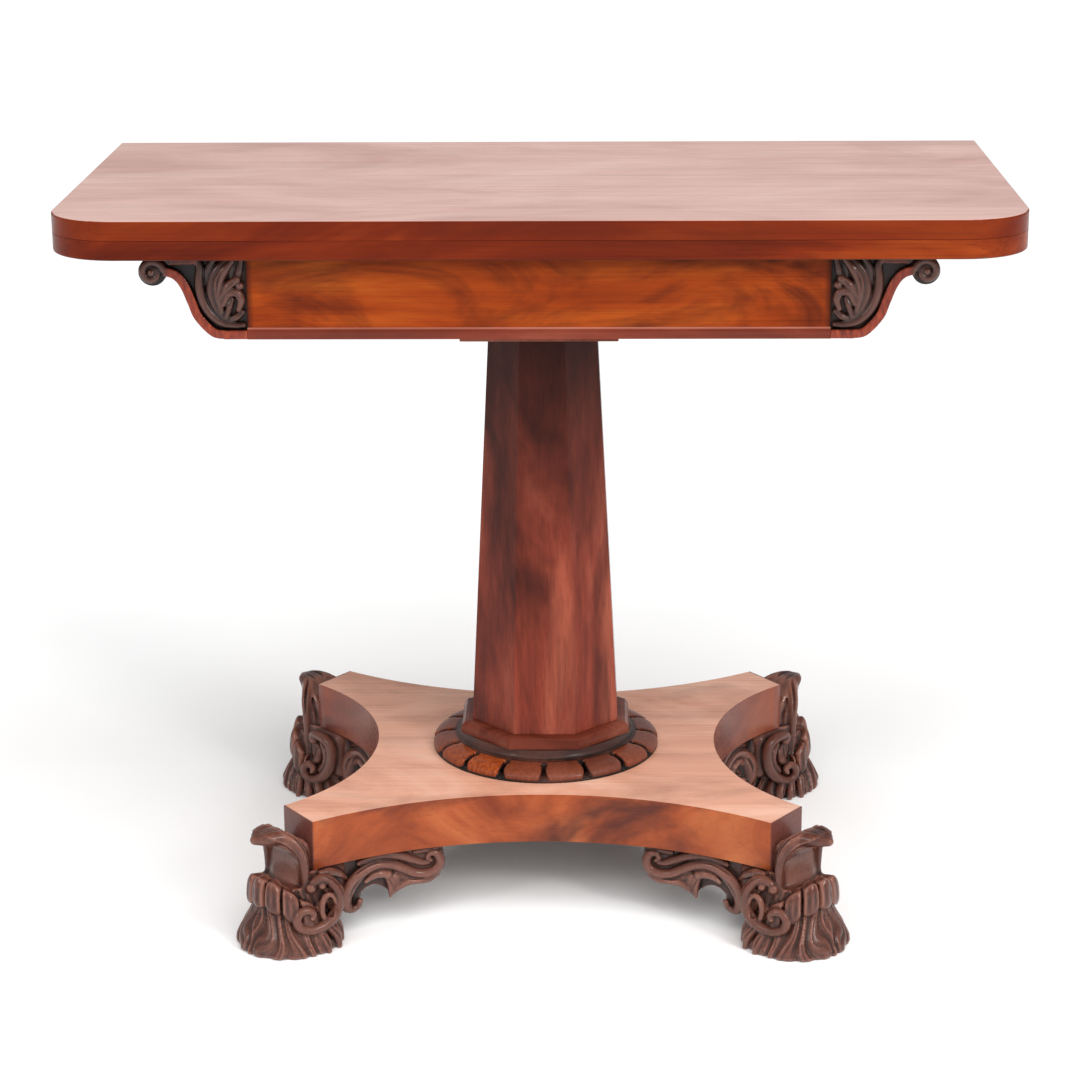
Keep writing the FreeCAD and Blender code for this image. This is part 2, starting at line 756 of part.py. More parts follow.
def collar():
    """Turned ring cut into convex petals by keyhole slits, with a hollowed neck above them."""
    body = doc.addObject("PartDesign::Body", "collar_body")
    profile = body_sketch(body, "collar_profile", "XZ_Plane")
    swell = dim.collar_radius - dim.petal_top_radius
    rise = dim.petal_height - dim.collar_lip
    petal = [
        (dim.petal_top_radius + swell * cosine(angle), dim.collar_lip + rise * sine(angle))
        for angle in ROUND_ANGLES
    ]
    outline(
        profile,
        [(TENON_BORE, 0), (dim.collar_radius, 0), (dim.collar_radius, dim.collar_lip)]
        + petal
        + [
            (dim.neck_radius + dim.neck_flare, dim.petal_height),
            (dim.neck_radius, dim.collar_height),
            (TENON_BORE, dim.collar_height),
        ],
    )
    turned = body.newObject("PartDesign::Revolution", "collar_turned")
    turned.Profile = profile
    turned.ReferenceAxis = (profile, ["V_Axis"])
    turned.Angle = 360
    doc.recompute()
    half_slit = dim.petal_slit_width / 2
    root = dim.petal_slit_root
    rim = dim.collar_radius + dim.collar_lip
    mouth = dim.petal_chamfer
    slit = body_sketch(body, "petal_slit", "XY_Plane")
    outline(
        slit,
        [
            (root, -half_slit * 1.5),
            (root + half_slit * 3, -half_slit),
            (dim.collar_radius - mouth, -half_slit),
            (rim, -mouth),
            (rim, mouth),
            (dim.collar_radius - mouth, half_slit),
            (root + half_slit * 3, half_slit),
            (root, half_slit * 1.5),
        ],
    )
    bind(slit, "AttachmentOffset.Base.z", dim.collar_lip)
    pocket = body.newObject("PartDesign::Pocket", "petal_pocket")
    pocket.Profile = slit
    pocket.Reversed = True
    bind(pocket, "Length", dim.collar_height)
    doc.recompute()
    if pocket.Shape.Volume >= turned.Shape.Volume:
        raise RuntimeError("the petal slits point away from the collar")
    petals = body.newObject("PartDesign::PolarPattern", "petals")
    petals.Originals = [pocket]
    petals.Axis = (slit, ["N_Axis"])
    petals.Angle = 360
    bind(petals, "Occurrences", dim.petal_count)
    body.Tip = petals
    piece(locate(body, z=PLATFORM_TOP), "carved_collar")


def platform():
    """Thick slab with four hollowed sides and a short flat at each corner, bored for the column's tenon."""
    body = doc.addObject("PartDesign::Body", "platform_body")
    sketch = body_sketch(body, "platform_outline", "XY_Plane")
    quarter = [(CORNER_LONG_X, CORNER_SHORT_Y), (CORNER_SHORT_X, CORNER_LONG_Y)]
    corners = [
        quarter[0], quarter[1],
        (-quarter[1][0], quarter[1][1]), (-quarter[0][0], quarter[0][1]),
        (-quarter[0][0], -quarter[0][1]), (-quarter[1][0], -quarter[1][1]),
        (quarter[1][0], -quarter[1][1]), (quarter[0][0], -quarter[0][1]),
    ]
    outline(sketch, corners, {1: (LONG_ARC, -1), 3: (SIDE_ARC, -1), 5: (LONG_ARC, -1), 7: (SIDE_ARC, -1)})
    padded(body, sketch, dim.platform_thickness)
    locate(body, z=dim.foot_height)
    socket = rod("platform_socket", TENON_BORE, (0, 0, PLATFORM_TOP - dim.tenon_depth), dim.tenon_depth)
    return piece(cut("platform_bored", body, [socket]), "platform")


def paw_core():
    profile = free_sketch("paw_profile", "xz")
    outline(
        profile,
        [
            (0, 0),
            (dim.paw_radius - dim.paw_core_inset, 0),
            (dim.ankle_radius, dim.ankle_height),
            (dim.ankle_radius, dim.ankle_top),
            (0, dim.ankle_top),
        ],
    )
    core = doc.addObject("Part::Revolution", "paw_core")
    core.Source = profile
    core.Axis = UP
    core.Angle = 360
    core.Solid = True
    return core


def fan_angles(count, half_spread):
    step = 2 * half_spread / (count - 1)
    return [step * index - half_spread for index in range(count)]


def paw_lobes():
    """Toes and locks of fur that lean in from the floor to the ankle, over the outer part of the paw."""
    lobes = []
    half = dim.paw_lobe_half
    reach = dim.paw_radius - half / 2
    lean = FreeCAD.Rotation(BACK, -SIZES["paw_lean"])
    for index, angle in enumerate(fan_angles(PAW_LOBES, PAW_SPREAD)):
        start = (reach * cosine(angle), reach * sine(angle), -half / 2)
        way = FreeCAD.Rotation(UP, angle) * lean
        lobes.append(ridge(f"paw_lobe_{index}", half, dim.paw_lobe_tip, start, dim.ankle_top, way))
    return lobes


def cuff():
    """Band of upright leaves round the ankle, tipped up towards the front."""
    tilt = dim.cuff_tilt
    half_band = dim.cuff_band / 2
    band = rod("cuff_ring", dim.cuff_radius + dim.cuff_proud,
               (half_band * sine(tilt), 0, dim.cuff_height - half_band * cosine(tilt)), dim.cuff_band)
    turn(band, -BACK, SIZES["cuff_tilt"])
    bind(band, "Placement.Rotation.Angle", tilt)
    leaves = []
    for index, angle in enumerate(fan_angles(CUFF_LEAVES, CUFF_SPREAD)):
        level = dim.cuff_height + dim.cuff_radius * cosine(angle) * sine(tilt)
        leaf_foot = level - dim.cuff_leaf_height / 2
        start = (dim.cuff_radius * cosine(angle), dim.cuff_radius * sine(angle), leaf_foot)
        leaf = ridge(f"cuff_leaf_{index}", dim.cuff_leaf_half, dim.cuff_leaf_tip, start,
                     dim.cuff_leaf_height, FreeCAD.Rotation(UP, angle))
        leaves.append(leaf)
    return [band] + leaves


def shield():
    """Upright leaf against the platform's corner: arched, hollow in front, its tip curled outwards."""
    facet = -dim.paw_offset
    back = facet - dim.shield_thickness
    face = facet + dim.shield_thickness
    foot_z = dim.shield_foot
    curl = dim.shield_curl
    tip = facet + dim.shield_curl_reach
    top = PLATFORM_TOP - dim.shield_drop
    side_view = free_sketch("shield_side", "xz")
    outline(
        side_view,
        [
            (back, foot_z),
            (face + curl / 2, foot_z),
            (face, top - curl * 2.8),
            (tip - curl, top - curl * 1.7),
            (tip, top - curl),
            (face + curl / 2, top),
            (facet + curl / 2, top - curl * 2.2),
            (back, top - curl * 2.2),
        ],
        {2: (curl * 2.4, -1), 3: (curl * 0.8, 1), 4: (curl * 3, 1)},
    )
    depth = extrude("shield_depth", side_view, BACK, dim.shield_width * 2, symmetric=True)
    half_foot, half_top = dim.shield_foot_width / 2, dim.shield_width / 2
    shoulder = dim.shield_shoulder
    arch_rise = top - shoulder
    front_view = free_sketch("shield_front", "yz")
    outline(
        front_view,
        [(-half_foot, foot_z), (half_foot, foot_z), (half_top, shoulder), (0, top), (-half_top, shoulder)],
        {2: (arch_rise, 1), 3: (arch_rise, 1)},
    )
    width = extrude("shield_width_view", front_view, ACROSS, dim.foot_block_length * 4, symmetric=True)
    blank = common("shield_blank", [depth, width])
    hollow_x = face + dim.shield_hollow_radius - dim.shield_hollow_depth
    hollow = rod("shield_hollow", dim.shield_hollow_radius, (hollow_x, 0, foot_z + curl / 2),
                 top - curl * 2.2 - foot_z)
    return cut("shield_leaf", blank, [hollow])


def side_scrolls():
    """C-scroll on each side of the ankle, open to the front, with a rolled eye at its lower end."""
    scrolls = []
    radius, roll = dim.scroll_radius, dim.scroll_roll
    angles = (SCROLL_OPENING / 2, 180, 360 - SCROLL_OPENING / 2)
    centre_x, centre_z = -dim.paw_offset / 2, dim.scroll_height

    def polar(reach, angle):
        return (centre_x + reach * cosine(angle), centre_z + reach * sine(angle))

    outer = [polar(radius + roll, angle) for angle in angles]
    inner = [polar(radius - roll, angle) for angle in reversed(angles)]
    bends = {0: (radius + roll, 1), 1: (radius + roll, 1), 3: (radius - roll, -1), 4: (radius - roll, -1)}
    web_start = dim.foot_block_width / 2 - roll
    face = dim.scroll_offset + dim.scroll_width / 2
    proud_face = face + dim.scroll_eye_proud
    for word, side in (("left", 1), ("right", -1)):
        profile = free_sketch(f"scroll_{word}_profile", "xz")
        outline(profile, outer + inner, bends)
        locate(profile, y=side * dim.scroll_offset)
        stem = extrude(f"scroll_{word}_stem", profile, BACK, dim.scroll_width, symmetric=True)

        def disc(name, disc_radius, spot, disc_face):
            start = (spot[0], web_start if side > 0 else -disc_face, spot[1])
            return rod(f"scroll_{word}_{name}", disc_radius, start, disc_face - web_start, "y")

        web = disc("web", radius, (centre_x, centre_z), dim.scroll_offset)
        high, low = polar(radius, angles[0]), polar(radius, angles[2])
        eye = disc("eye", dim.scroll_eye_radius, low, face)
        button = disc("button", dim.scroll_eye_radius / 2, low, proud_face)
        knob = disc("knob", dim.scroll_knob_radius, high, proud_face)
        scrolls.append(chain(f"scroll_{word}_whole", [stem, web, eye, button, knob]))
    return scrolls


def foot(slab):
    """Lion's paw with a leafy cuff, side scrolls and an upright shield leaf, against a platform corner."""
    half_block = dim.foot_block_width / 2
    block_front = dim.shield_thickness - dim.paw_offset
    block = box("foot_block", (block_front - dim.foot_block_length, block_front), (-half_block, half_block),
                (dim.foot_block_foot, dim.foot_height))
    paw = fuse("paw", [paw_core()] + paw_lobes())
    ankle = fuse("ankle", [block, shield()] + cuff())
    carving = chain("foot_carving", [paw, ankle] + side_scrolls())
    reach = CORNER_LONG_X
    ground = box("foot_ground", (-reach, reach), (-reach, reach), (-dim.foot_height, 0))
    standing = cut("foot_standing", carving, [ground])
    turn(standing, UP, SIZES["foot_turn"])
    bind(standing, "Placement.Rotation.Angle", dim.foot_turn)
    locate(
        standing,
        dim.corner_x + dim.paw_offset * cosine(dim.foot_turn),
        dim.corner_y + dim.paw_offset * sine(dim.foot_turn),
    )
    return cut("foot_fitted", standing, [slab])


def wing(name, plane, direction, arc, arc_centre, corner, length, neighbour):
    """Leafy bracket under a hollow side: rolled at its tip, with a drooping point, run against the foot."""
    tip = corner - length
    roll = dim.wing_roll
    top = dim.foot_height
    drop = dim.wing_drop
    spots = [(tip + length * along, top - drop * down) for along, down in WING_SHARES]
    profile = free_sketch(name + "_profile", plane)
    outline(
        profile,
        [(tip + roll, top), (tip + roll, top - roll * 2)] + spots,
        {
            0: (roll * 1.01, 1),
            3: (drop * 0.45, 1),
            4: (drop * 0.4, -1),
            5: (drop * 0.16, 1),
            6: (drop * 0.2, 1),
        },
    )
    plank = extrude(name + "_plank", profile, direction, CORNER_LONG_X * 2, symmetric=True)
    inner = arc + dim.wing_inset
    outer_rod = rod(name + "_outer", inner + dim.wing_thickness, arc_centre, top)
    inner_rod = rod(name + "_inner", inner, arc_centre, top)
    curved = common(name + "_curved", [plank, cut(name + "_band", outer_rod, [inner_rod])])
    return cut(name + "_fitted", curved, [neighbour])


def base():
    """Platform with its four feet and eight wings, the back right corner mirrored to the other three."""
    slab = platform()
    back_right = foot(slab)
    long_wing = wing("long_wing", "xz", BACK, LONG_ARC, (0, dim.waist_y + LONG_ARC, 0),
                     CORNER_SHORT_X, dim.wing_front_length, back_right)
    side_wing = wing("side_wing", "yz", ACROSS, SIDE_ARC, (dim.waist_x + SIDE_ARC, 0, 0),
                     CORNER_SHORT_Y, dim.wing_side_length, back_right)
    names = {
        back_right: ("foot_back_right", "foot_front_right", "foot_back_left", "foot_front_left"),
        long_wing: ("wing_back_right", "wing_front_right", "wing_back_left", "wing_front_left"),
        side_wing: ("wing_right_back", "wing_right_front", "wing_left_back", "wing_left_front"),
    }
    for source, (own, forward, across, diagonal) in names.items():
        piece(source, own)
        piece(mirrored(forward + "_copy", source, BACK), forward)
        left = piece(mirrored(across + "_copy", source, ACROSS), across)
        piece(mirrored(diagonal + "_copy", left, BACK), diagonal)


base()
collar()
column()
frieze()
bracket()
double_top()
doc.recompute()

for item in doc.Objects:
    if "Invalid" in item.State or "Error" in item.State:
        raise RuntimeError(f"{item.Label} failed: {item.State}")
os.makedirs("parts", exist_ok=True)
for item in pieces:
    if item.Shape.isNull() or not item.Shape.isValid():
        raise RuntimeError(f"{item.Label} has no valid shape")
for item in pieces:
    item.Shape.exportStep(os.path.join("parts", item.Label + ".step"))
    print(item.Label, len(item.Shape.Solids), round(item.Shape.Volume))
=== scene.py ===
import math

import bpy
import numpy as np
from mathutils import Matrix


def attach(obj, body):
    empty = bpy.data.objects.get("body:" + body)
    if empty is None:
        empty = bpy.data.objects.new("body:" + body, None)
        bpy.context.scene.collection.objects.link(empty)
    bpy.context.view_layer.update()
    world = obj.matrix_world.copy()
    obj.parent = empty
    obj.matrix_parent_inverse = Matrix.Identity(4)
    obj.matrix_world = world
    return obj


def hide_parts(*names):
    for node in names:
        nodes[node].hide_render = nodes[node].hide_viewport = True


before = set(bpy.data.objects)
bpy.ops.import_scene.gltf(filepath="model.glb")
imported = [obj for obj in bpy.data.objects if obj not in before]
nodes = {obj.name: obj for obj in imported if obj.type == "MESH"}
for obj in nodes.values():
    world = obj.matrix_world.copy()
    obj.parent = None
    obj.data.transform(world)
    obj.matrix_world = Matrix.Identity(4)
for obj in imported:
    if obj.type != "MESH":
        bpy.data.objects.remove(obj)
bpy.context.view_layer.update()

import openvdb
from mathutils import Euler, Matrix, Vector

# Looks of the tea table: polished and faded mahogany, carved feet, wings, brackets and petal collar.
# Lengths of the carving are in millimetres and are turned into metres when a mesh is made.

MM = 0.001
FAR = 40.0  # distance of empty space in a carving grid
CALMING = 5  # smoothing rounds against which relief is measured
FLOOR_SIZE = 14.0

# grid steps of the carvings
FOOT_GRID = 0.95
WING_GRID = 0.8
BRACKET_GRID = 0.7
COLLAR_GRID = 0.97

# places shared with the solids
CORNER = (241.75, 197.5)
FOOT_TURN = math.radians(45)
PLATFORM_BOTTOM = 79.0
PLATFORM_TOP = 130.0
WAIST = (177.0, 146.5)
LONG_ARC = 387.6
SIDE_ARC = 232.1
WING_INSET = 2.0
LONG_WING = (98.7, 127.0)
SIDE_WING = (71.0, 105.0)
FRIEZE_X = 272.0
FRIEZE_BOTTOM = 612.0
BRACKET_FRONT = -206.0
BRACKET_HEIGHT = 78.5
COLLAR_RADIUS = 118.0
COLLAR_BORE = 80
COLLAR_TOP = 24.3
PETALS = 16
LEAF_BACK = 228.8
HINGE_Z = 709.5
HINGE_X = 362.0


# carving

def eased(route, sizes, samples=5):
    """Smooth route through the given points, with a radius at each sample."""
    points = np.array(route, float)
    radii = np.interp(np.linspace(0, 1, len(points)), np.linspace(0, 1, len(sizes)), sizes)
    padded = np.vstack([2 * points[0] - points[1], points, 2 * points[-1] - points[-2]])
    steps = np.arange(samples) / samples
    smooth, thick = [], []
    for index in range(len(points) - 1):
        a, b, c, d = padded[index:index + 4]
        for t in steps:
            curve = 2 * b + (c - a) * t + (2 * a - 5 * b + 4 * c - d) * t**2 + (3 * b - a - 3 * c + d) * t**3
            smooth.append(curve / 2)
            thick.append(radii[index] + t * (radii[index + 1] - radii[index]))
    smooth.append(points[-1])
    thick.append(radii[-1])
    return np.array(smooth), np.array(thick)


def polygon_distance(corners, x, z):
    """Signed distance to a closed outline, negative inside."""
    nearest = np.full(np.broadcast(x, z).shape, FAR**2)
    inside = np.zeros(nearest.shape, bool)
    corners = np.array(corners, float)
    for (x0, z0), (x1, z1) in zip(corners, np.roll(corners, -1, axis=0)):
        run, rise = x1 - x0, z1 - z0
        along = np.clip(((x - x0) * run + (z - z0) * rise) / (run**2 + rise**2), 0, 1)
        nearest = np.minimum(nearest, (x - x0 - along * run) ** 2 + (z - z0 - along * rise) ** 2)
        if rise:
            inside ^= ((z0 > z) != (z1 > z)) & (x < x0 + run * (z - z0) / rise)
    return np.sqrt(nearest) * np.where(inside, -1, 1)


class Clay:
    """A block worked by strokes: signed distance on a grid, negative inside."""

    def __init__(self, low, high, step):
        self.step = step
        self.axes = [np.arange(a, b + step, step, dtype=np.float32) for a, b in zip(low, high)]
        self.field = np.full([len(axis) for axis in self.axes], FAR, np.float32)

    def window(self, low, high):
        spans = []
        for axis, a, b in zip(self.axes, low, high):
            first = int(np.clip((a - axis[0]) / self.step, 0, len(axis) - 1))
            last = int(np.clip((b - axis[0]) / self.step + 2, first + 1, len(axis)))
            spans.append(slice(first, last))
        parts = [axis[span] for axis, span in zip(self.axes, spans)]
        return tuple(spans), np.meshgrid(*parts, indexing="ij", sparse=True)

    def whole(self):
        return self.window([axis[0] for axis in self.axes], [axis[-1] for axis in self.axes])

    def work(self, spans, distance, soft, groove):
        near = self.field[spans]
        if groove:
            gap = np.maximum(soft - np.abs(near + distance), 0)
            self.field[spans] = np.maximum(near, -distance) + gap * gap / (4 * soft)
        else:
            gap = np.maximum(soft - np.abs(near - distance), 0)
            self.field[spans] = np.minimum(near, distance) - gap * gap / (4 * soft)

    def stroke(self, route, sizes, soft=1.5, groove=False):
        points, radii = eased(route, sizes)
        margin = soft + 2 * self.step
        low = (points - radii[:, None]).min(0) - margin
        high = (points + radii[:, None]).max(0) + margin
        spans, (x, y, z) = self.window(low, high)
        distance = np.float32(FAR)
        for start, end, thick, thin in zip(points, points[1:], radii, radii[1:]):
            way = end - start
            dx, dy, dz = x - start[0], y - start[1], z - start[2]
            along = np.clip((dx * way[0] + dy * way[1] + dz * way[2]) / (way @ way), 0, 1)
            off = (dx - along * way[0]) ** 2 + (dy - along * way[1]) ** 2 + (dz - along * way[2]) ** 2
            distance = np.minimum(distance, np.sqrt(off) - thick - along * (thin - thick))
        self.work(spans, distance, soft, groove)

    def blob(self, centre, radii, spin=(0, 0, 0), soft=1.5, groove=False):
        turn = np.array(Euler(spin).to_matrix())
        reach = max(radii) + soft + 2 * self.step
        spans, (x, y, z) = self.window(np.array(centre) - reach, np.array(centre) + reach)
        dx, dy, dz = x - centre[0], y - centre[1], z - centre[2]
        near, steep = 0, 0
        for column, radius in zip(turn.T, radii):
            share = (column[0] * dx + column[1] * dy + column[2] * dz) / radius
            near = near + share**2
            steep = steep + (share / radius) ** 2
        near, steep = np.sqrt(near), np.sqrt(steep)
        self.work(spans, near * (near - 1) / np.maximum(steep, 1e-4), soft, groove)

    def slab(self, corners, low, high, soft=1.5, shrink=0.0, groove=False):
        """Outline in the first and third direction, thick in the second."""
        spans, (x, y, z) = self.whole()
        flat = polygon_distance(corners, x[:, 0, :], z[0, :, :]) + shrink
        depth = np.abs(y - (low + high) / 2) - (high - low) / 2
        self.work(spans, np.maximum(flat[:, None, :], depth), soft, groove)

    def keep(self, distance):
        self.field = np.maximum(self.field, distance.astype(np.float32))

    def surface(self):
        """Points, four-sided faces, and how far each point stands out of its surroundings."""
        grid = openvdb.FloatGrid(FAR)
        grid.copyFromArray(self.field)
        points, _, faces = grid.convertToPolygons(isovalue=0.0, adaptivity=0.0)
        calm = self.field
        for _ in range(CALMING):
            for axis in range(3):
                calm = (np.roll(calm, 1, axis) + 2 * calm + np.roll(calm, -1, axis)) / 4
        spots = tuple(np.clip(np.rint(points).astype(int), 0, np.array(self.field.shape) - 1).T)
        relief = (calm - self.field)[spots] / self.step
        low = np.array([axis[0] for axis in self.axes])
        return points * self.step + low, faces, relief


def linked(name, data):
    """New object of the scene."""
    made = bpy.data.objects.new(name, data)
    bpy.context.scene.collection.objects.link(made)
    return made


def carved(name, surface, place, material, node, masks=None):
    """Mesh made from a carved surface, set in place and standing for one solid."""
    points, faces, relief = surface
    spots = place(points) * MM
    centre = spots.mean(0)
    a, b, c = (spots[faces[:, corner]] - centre for corner in range(3))
    if np.einsum("ij,ij->i", a, np.cross(b, c)).sum() < 0:
        faces = faces[:, ::-1]
    mesh = bpy.data.meshes.new(name)
    mesh.from_pydata(spots.tolist(), [], faces.tolist())
    mesh.polygons.foreach_set("use_smooth", [True] * len(faces))
    for label, values in {"relief": relief, **(masks or {})}.items():
        attribute = mesh.attributes.new(label, "FLOAT", "POINT")
        attribute.data.foreach_set("value", np.asarray(values, np.float32))
    mesh.materials.append(material)
    piece = linked(name, mesh)
    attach(piece, "base")
    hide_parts(node)


def spiral(centre, depth, radii, angles, count):
    """Route of a volute in the first and third direction."""
    reach = np.linspace(radii[0], radii[1], count)
    turn = np.radians(np.linspace(angles[0], angles[1], count))
    return [(centre[0] + r * math.cos(a), depth, centre[1] + r * math.sin(a)) for r, a in zip(reach, turn)]


# foot: outwards, sideways and up from the middle of the platform's corner

ANKLE = 15  # middle of the paw, outwards from the corner
LOCKS = 19
TAB_PITCH = 27.5  # degrees from one leaf tab of the cuff to the next
TUFT_GROOVE = 5  # how far a tuft's groove lies outside its middle


def paw(clay):
    """Bell of wavy overlapping locks that swell to the toes."""
    spans, (u, v, z) = clay.whole()
    out = u - ANKLE
    reach = np.sqrt(out**2 + v**2)
    heading = np.abs(np.arctan2(v, out))
    swell = np.interp(z, [0, 2.5, 8, 19, 30, 38, 46, 60], [49.5, 51.5, 51, 46, 39.5, 35, 32.5, 30])
    count = heading * LOCKS / (2 * math.pi) + 0.5
    count = count + 0.3 * np.sin(z / 8 + 4 * heading) + 0.16 * np.sin(9 * heading)
    phase = np.mod(count, 1)
    fold = np.sin(math.pi * phase) ** 0.7 * (0.55 + 0.45 * phase)
    hairs = np.abs(np.cos(3 * math.pi * count))
    depth = np.interp(z, [0, 10, 40, 60], [4.6, 5.2, 4.4, 3])
    radius = swell + depth * (fold - 0.5) + 1.0 * (hairs - 0.5)
    clay.work(spans, np.maximum((reach - radius) * 0.8, z - 66), 1.5, False)


def foot_cuff(clay):
    """Pleated ribbon of leaf tabs round the ankle, high in front and low at the sides."""
    spans, (u, v, z) = clay.whole()
    out = u - ANKLE
    reach = np.sqrt(out**2 + v**2)
    heading = np.degrees(np.abs(np.arctan2(v, out)))
    level = np.interp(heading, [0, 27, 45, 60, 78, 100], [62.5, 60, 55, 49, 39.5, 31])
    tab = np.mod(heading / TAB_PITCH + 0.5, 1) - 0.5
    half = 15.5 - 16 * tab**2
    rise = z - level
    seam = np.exp(-(((0.5 - np.abs(tab)) / 0.055) ** 2))
    edge = np.clip(np.abs(rise) / half, 0, 1.2)
    outer = 38.5 + np.interp(heading, [30, 80], [0, 3.0]) - 0.09 * rise + 2.6 * (1 - 4 * tab**2) - 6 * seam
    outer = outer + 0.5 * np.cos(6 * math.pi * tab) * (1 - edge) - 3.2 * edge**4
    band = np.maximum(np.abs(reach - outer + 6) - 6, np.abs(rise) - half)
    band = np.maximum(band, (heading - 103) * 0.6)
    clay.work(spans, band * 0.85, 1.0, False)


def foot_shield(clay):
    """Upright hollow leaf with a rolled rim, curling away from the platform at its tip."""
    spans, (u, v, z) = clay.whole()
    width = np.interp(z, [40, 56, 72, 92, 106, 115, 122, 127], [29, 28, 27.5, 28, 25, 19, 13, 6])
    face = np.interp(z, [40, 52, 66, 80, 90, 98, 105, 111, 116, 121, 126],
                     [17, 15, 13.5, 13.5, 15, 17.5, 21, 26, 33, 41, 46])
    ankle = np.interp(z, [40, 52, 60, 68, 76, 84, 92], [24, 22, 18, 12.5, 7, 3, 0])
    behind = np.interp(z, [77, 79.5, 90, 98, 105, 111, 118, 125], [-30, -2, -2, 0, 4, 9, 20, 32])
    share = np.clip(np.abs(v) / width, 0, 1)
    beside, below = np.clip((12 - u) * 0.6, 0, 6), np.clip((2 - u) * 0.5, 0, 9)
    width = width - np.where(z > PLATFORM_BOTTOM - 0.5, beside, below)
    front = u - (face + 3.5 * share**3 + ankle * (1 - share**2))
    body = np.maximum(np.maximum(front * 0.7, (behind - u) * 0.7), (np.abs(v) - width) * 0.8)
    body = np.maximum(body, np.maximum(z - 122, 40 - z))
    clay.work(spans, body, 3.0, False)
    rim = [(16, 28, 46), (15.5, 28.5, 58), (15.5, 28.5, 74), (16.5, 28, 90), (18.5, 26.5, 102),
           (23, 20.5, 112), (30, 13.5, 117.3), (39.5, 9.5, 119), (48, 5, 119), (54.5, 0, 118)]
    inner = [(17.5, 22, 93), (22, 18, 103), (32, 10, 110), (44, 2, 113)]
    furrow = [(24, 5, 120), (33, 6.5, 124.6), (42, 5.5, 125.4), (49, 4, 125)]
    crease = [(14, 32, 92), (18, 28, 109), (26, 18, 121), (34, 10, 127.5)]
    seam = [(4, 23.5, 80), (5, 23.5, 92), (9, 24, 103), (16, 19, 112)]
    clay.blob((38, 0, 117), (16, 13, 7), (0, 0.03, 0), 6.0)
    strokes = (
        (rim, [3.4, 3.8, 4.2, 4.6, 5.4, 6.4, 6.8, 6.2, 5, 3.4], 3.6, False),
        (inner, [0.6, 2.2, 2.8, 2.4], 1.6, False),
        (furrow, [0.3, 1.2, 1.1, 0.2], 1.6, True),
        (crease, [0.5, 1.4, 1.5, 0.5], 1.4, True),
        (seam, [1.4, 1.9, 1.8, 0.6], 1.4, True),
    )
    for side in (-1, 1):
        for route, sizes, soft, groove in strokes:
            clay.stroke([(a, side * b, c) for a, b, c in route], sizes, soft, groove)


def fur_tufts(clay, tufts, way):
    """Tapered tufts of fur, each with a groove down its outer side."""
    for tuft in tufts:
        clay.stroke(tuft, [5.5, 5.2, 3], 1.0)
        clay.stroke([(a, b + way * TUFT_GROOVE, c) for a, b, c in tuft], [0.6, 1.2, 0.6], 0.8, True)


def foot_side_scroll(clay):
    """C-scroll on the flank below the short hollow side, round two leaves, with tufts of fur below."""
    route = [(2, -33, 66), (-2, -34, 71), (-12, -35, 73), (-23, -35, 71.5), (-30.5, -34, 66),
             (-33.5, -34, 57), (-32.5, -35, 46), (-28, -36, 36), (-21, -38, 27.5), (-12, -41, 22),
             (-3, -44, 22), (2.5, -45, 28), (1.5, -44.5, 35), (-4, -43, 38.5), (-9, -42, 35.5),
             (-8, -42.5, 31)]
    sizes = [4.2, 4.8, 5.2, 5.6, 5.8, 5.8, 5.8, 5.8, 5.6, 5.4, 5, 4.8, 4.6, 4.2, 3.6, 3]
    leaves = [((-11, -30, 64), (-20, -31, 55), (-21, -32, 43), (-14, -36, 32)),
              ((-5, -30, 60), (-10, -31, 53), (-10, -34, 45), (-6, -38, 40))]
    parting = [(-8, -34, 64), (-15, -36, 55), (-15.5, -38, 44), (-9, -42, 34)]
    tufts = [((-14, -40, 18), (-19, -43, 11), (-22, -44, 3)), ((-4, -44, 18), (-8, -48, 10), (-10, -49, 3)),
             ((8, -46, 20), (6, -50, 11), (5, -53, 2))]
    clay.stroke(route, sizes, 1.2)
    clay.blob((-4, -35, 66.5), (5.4, 5.4, 5.4), soft=0.8)
    for leaf in leaves:
        clay.stroke(leaf, [3, 4.8, 5, 3], 1.0)
    clay.stroke(parting, [0.6, 1.5, 1.5, 0.6], 0.8, True)
    fur_tufts(clay, tufts, -1)


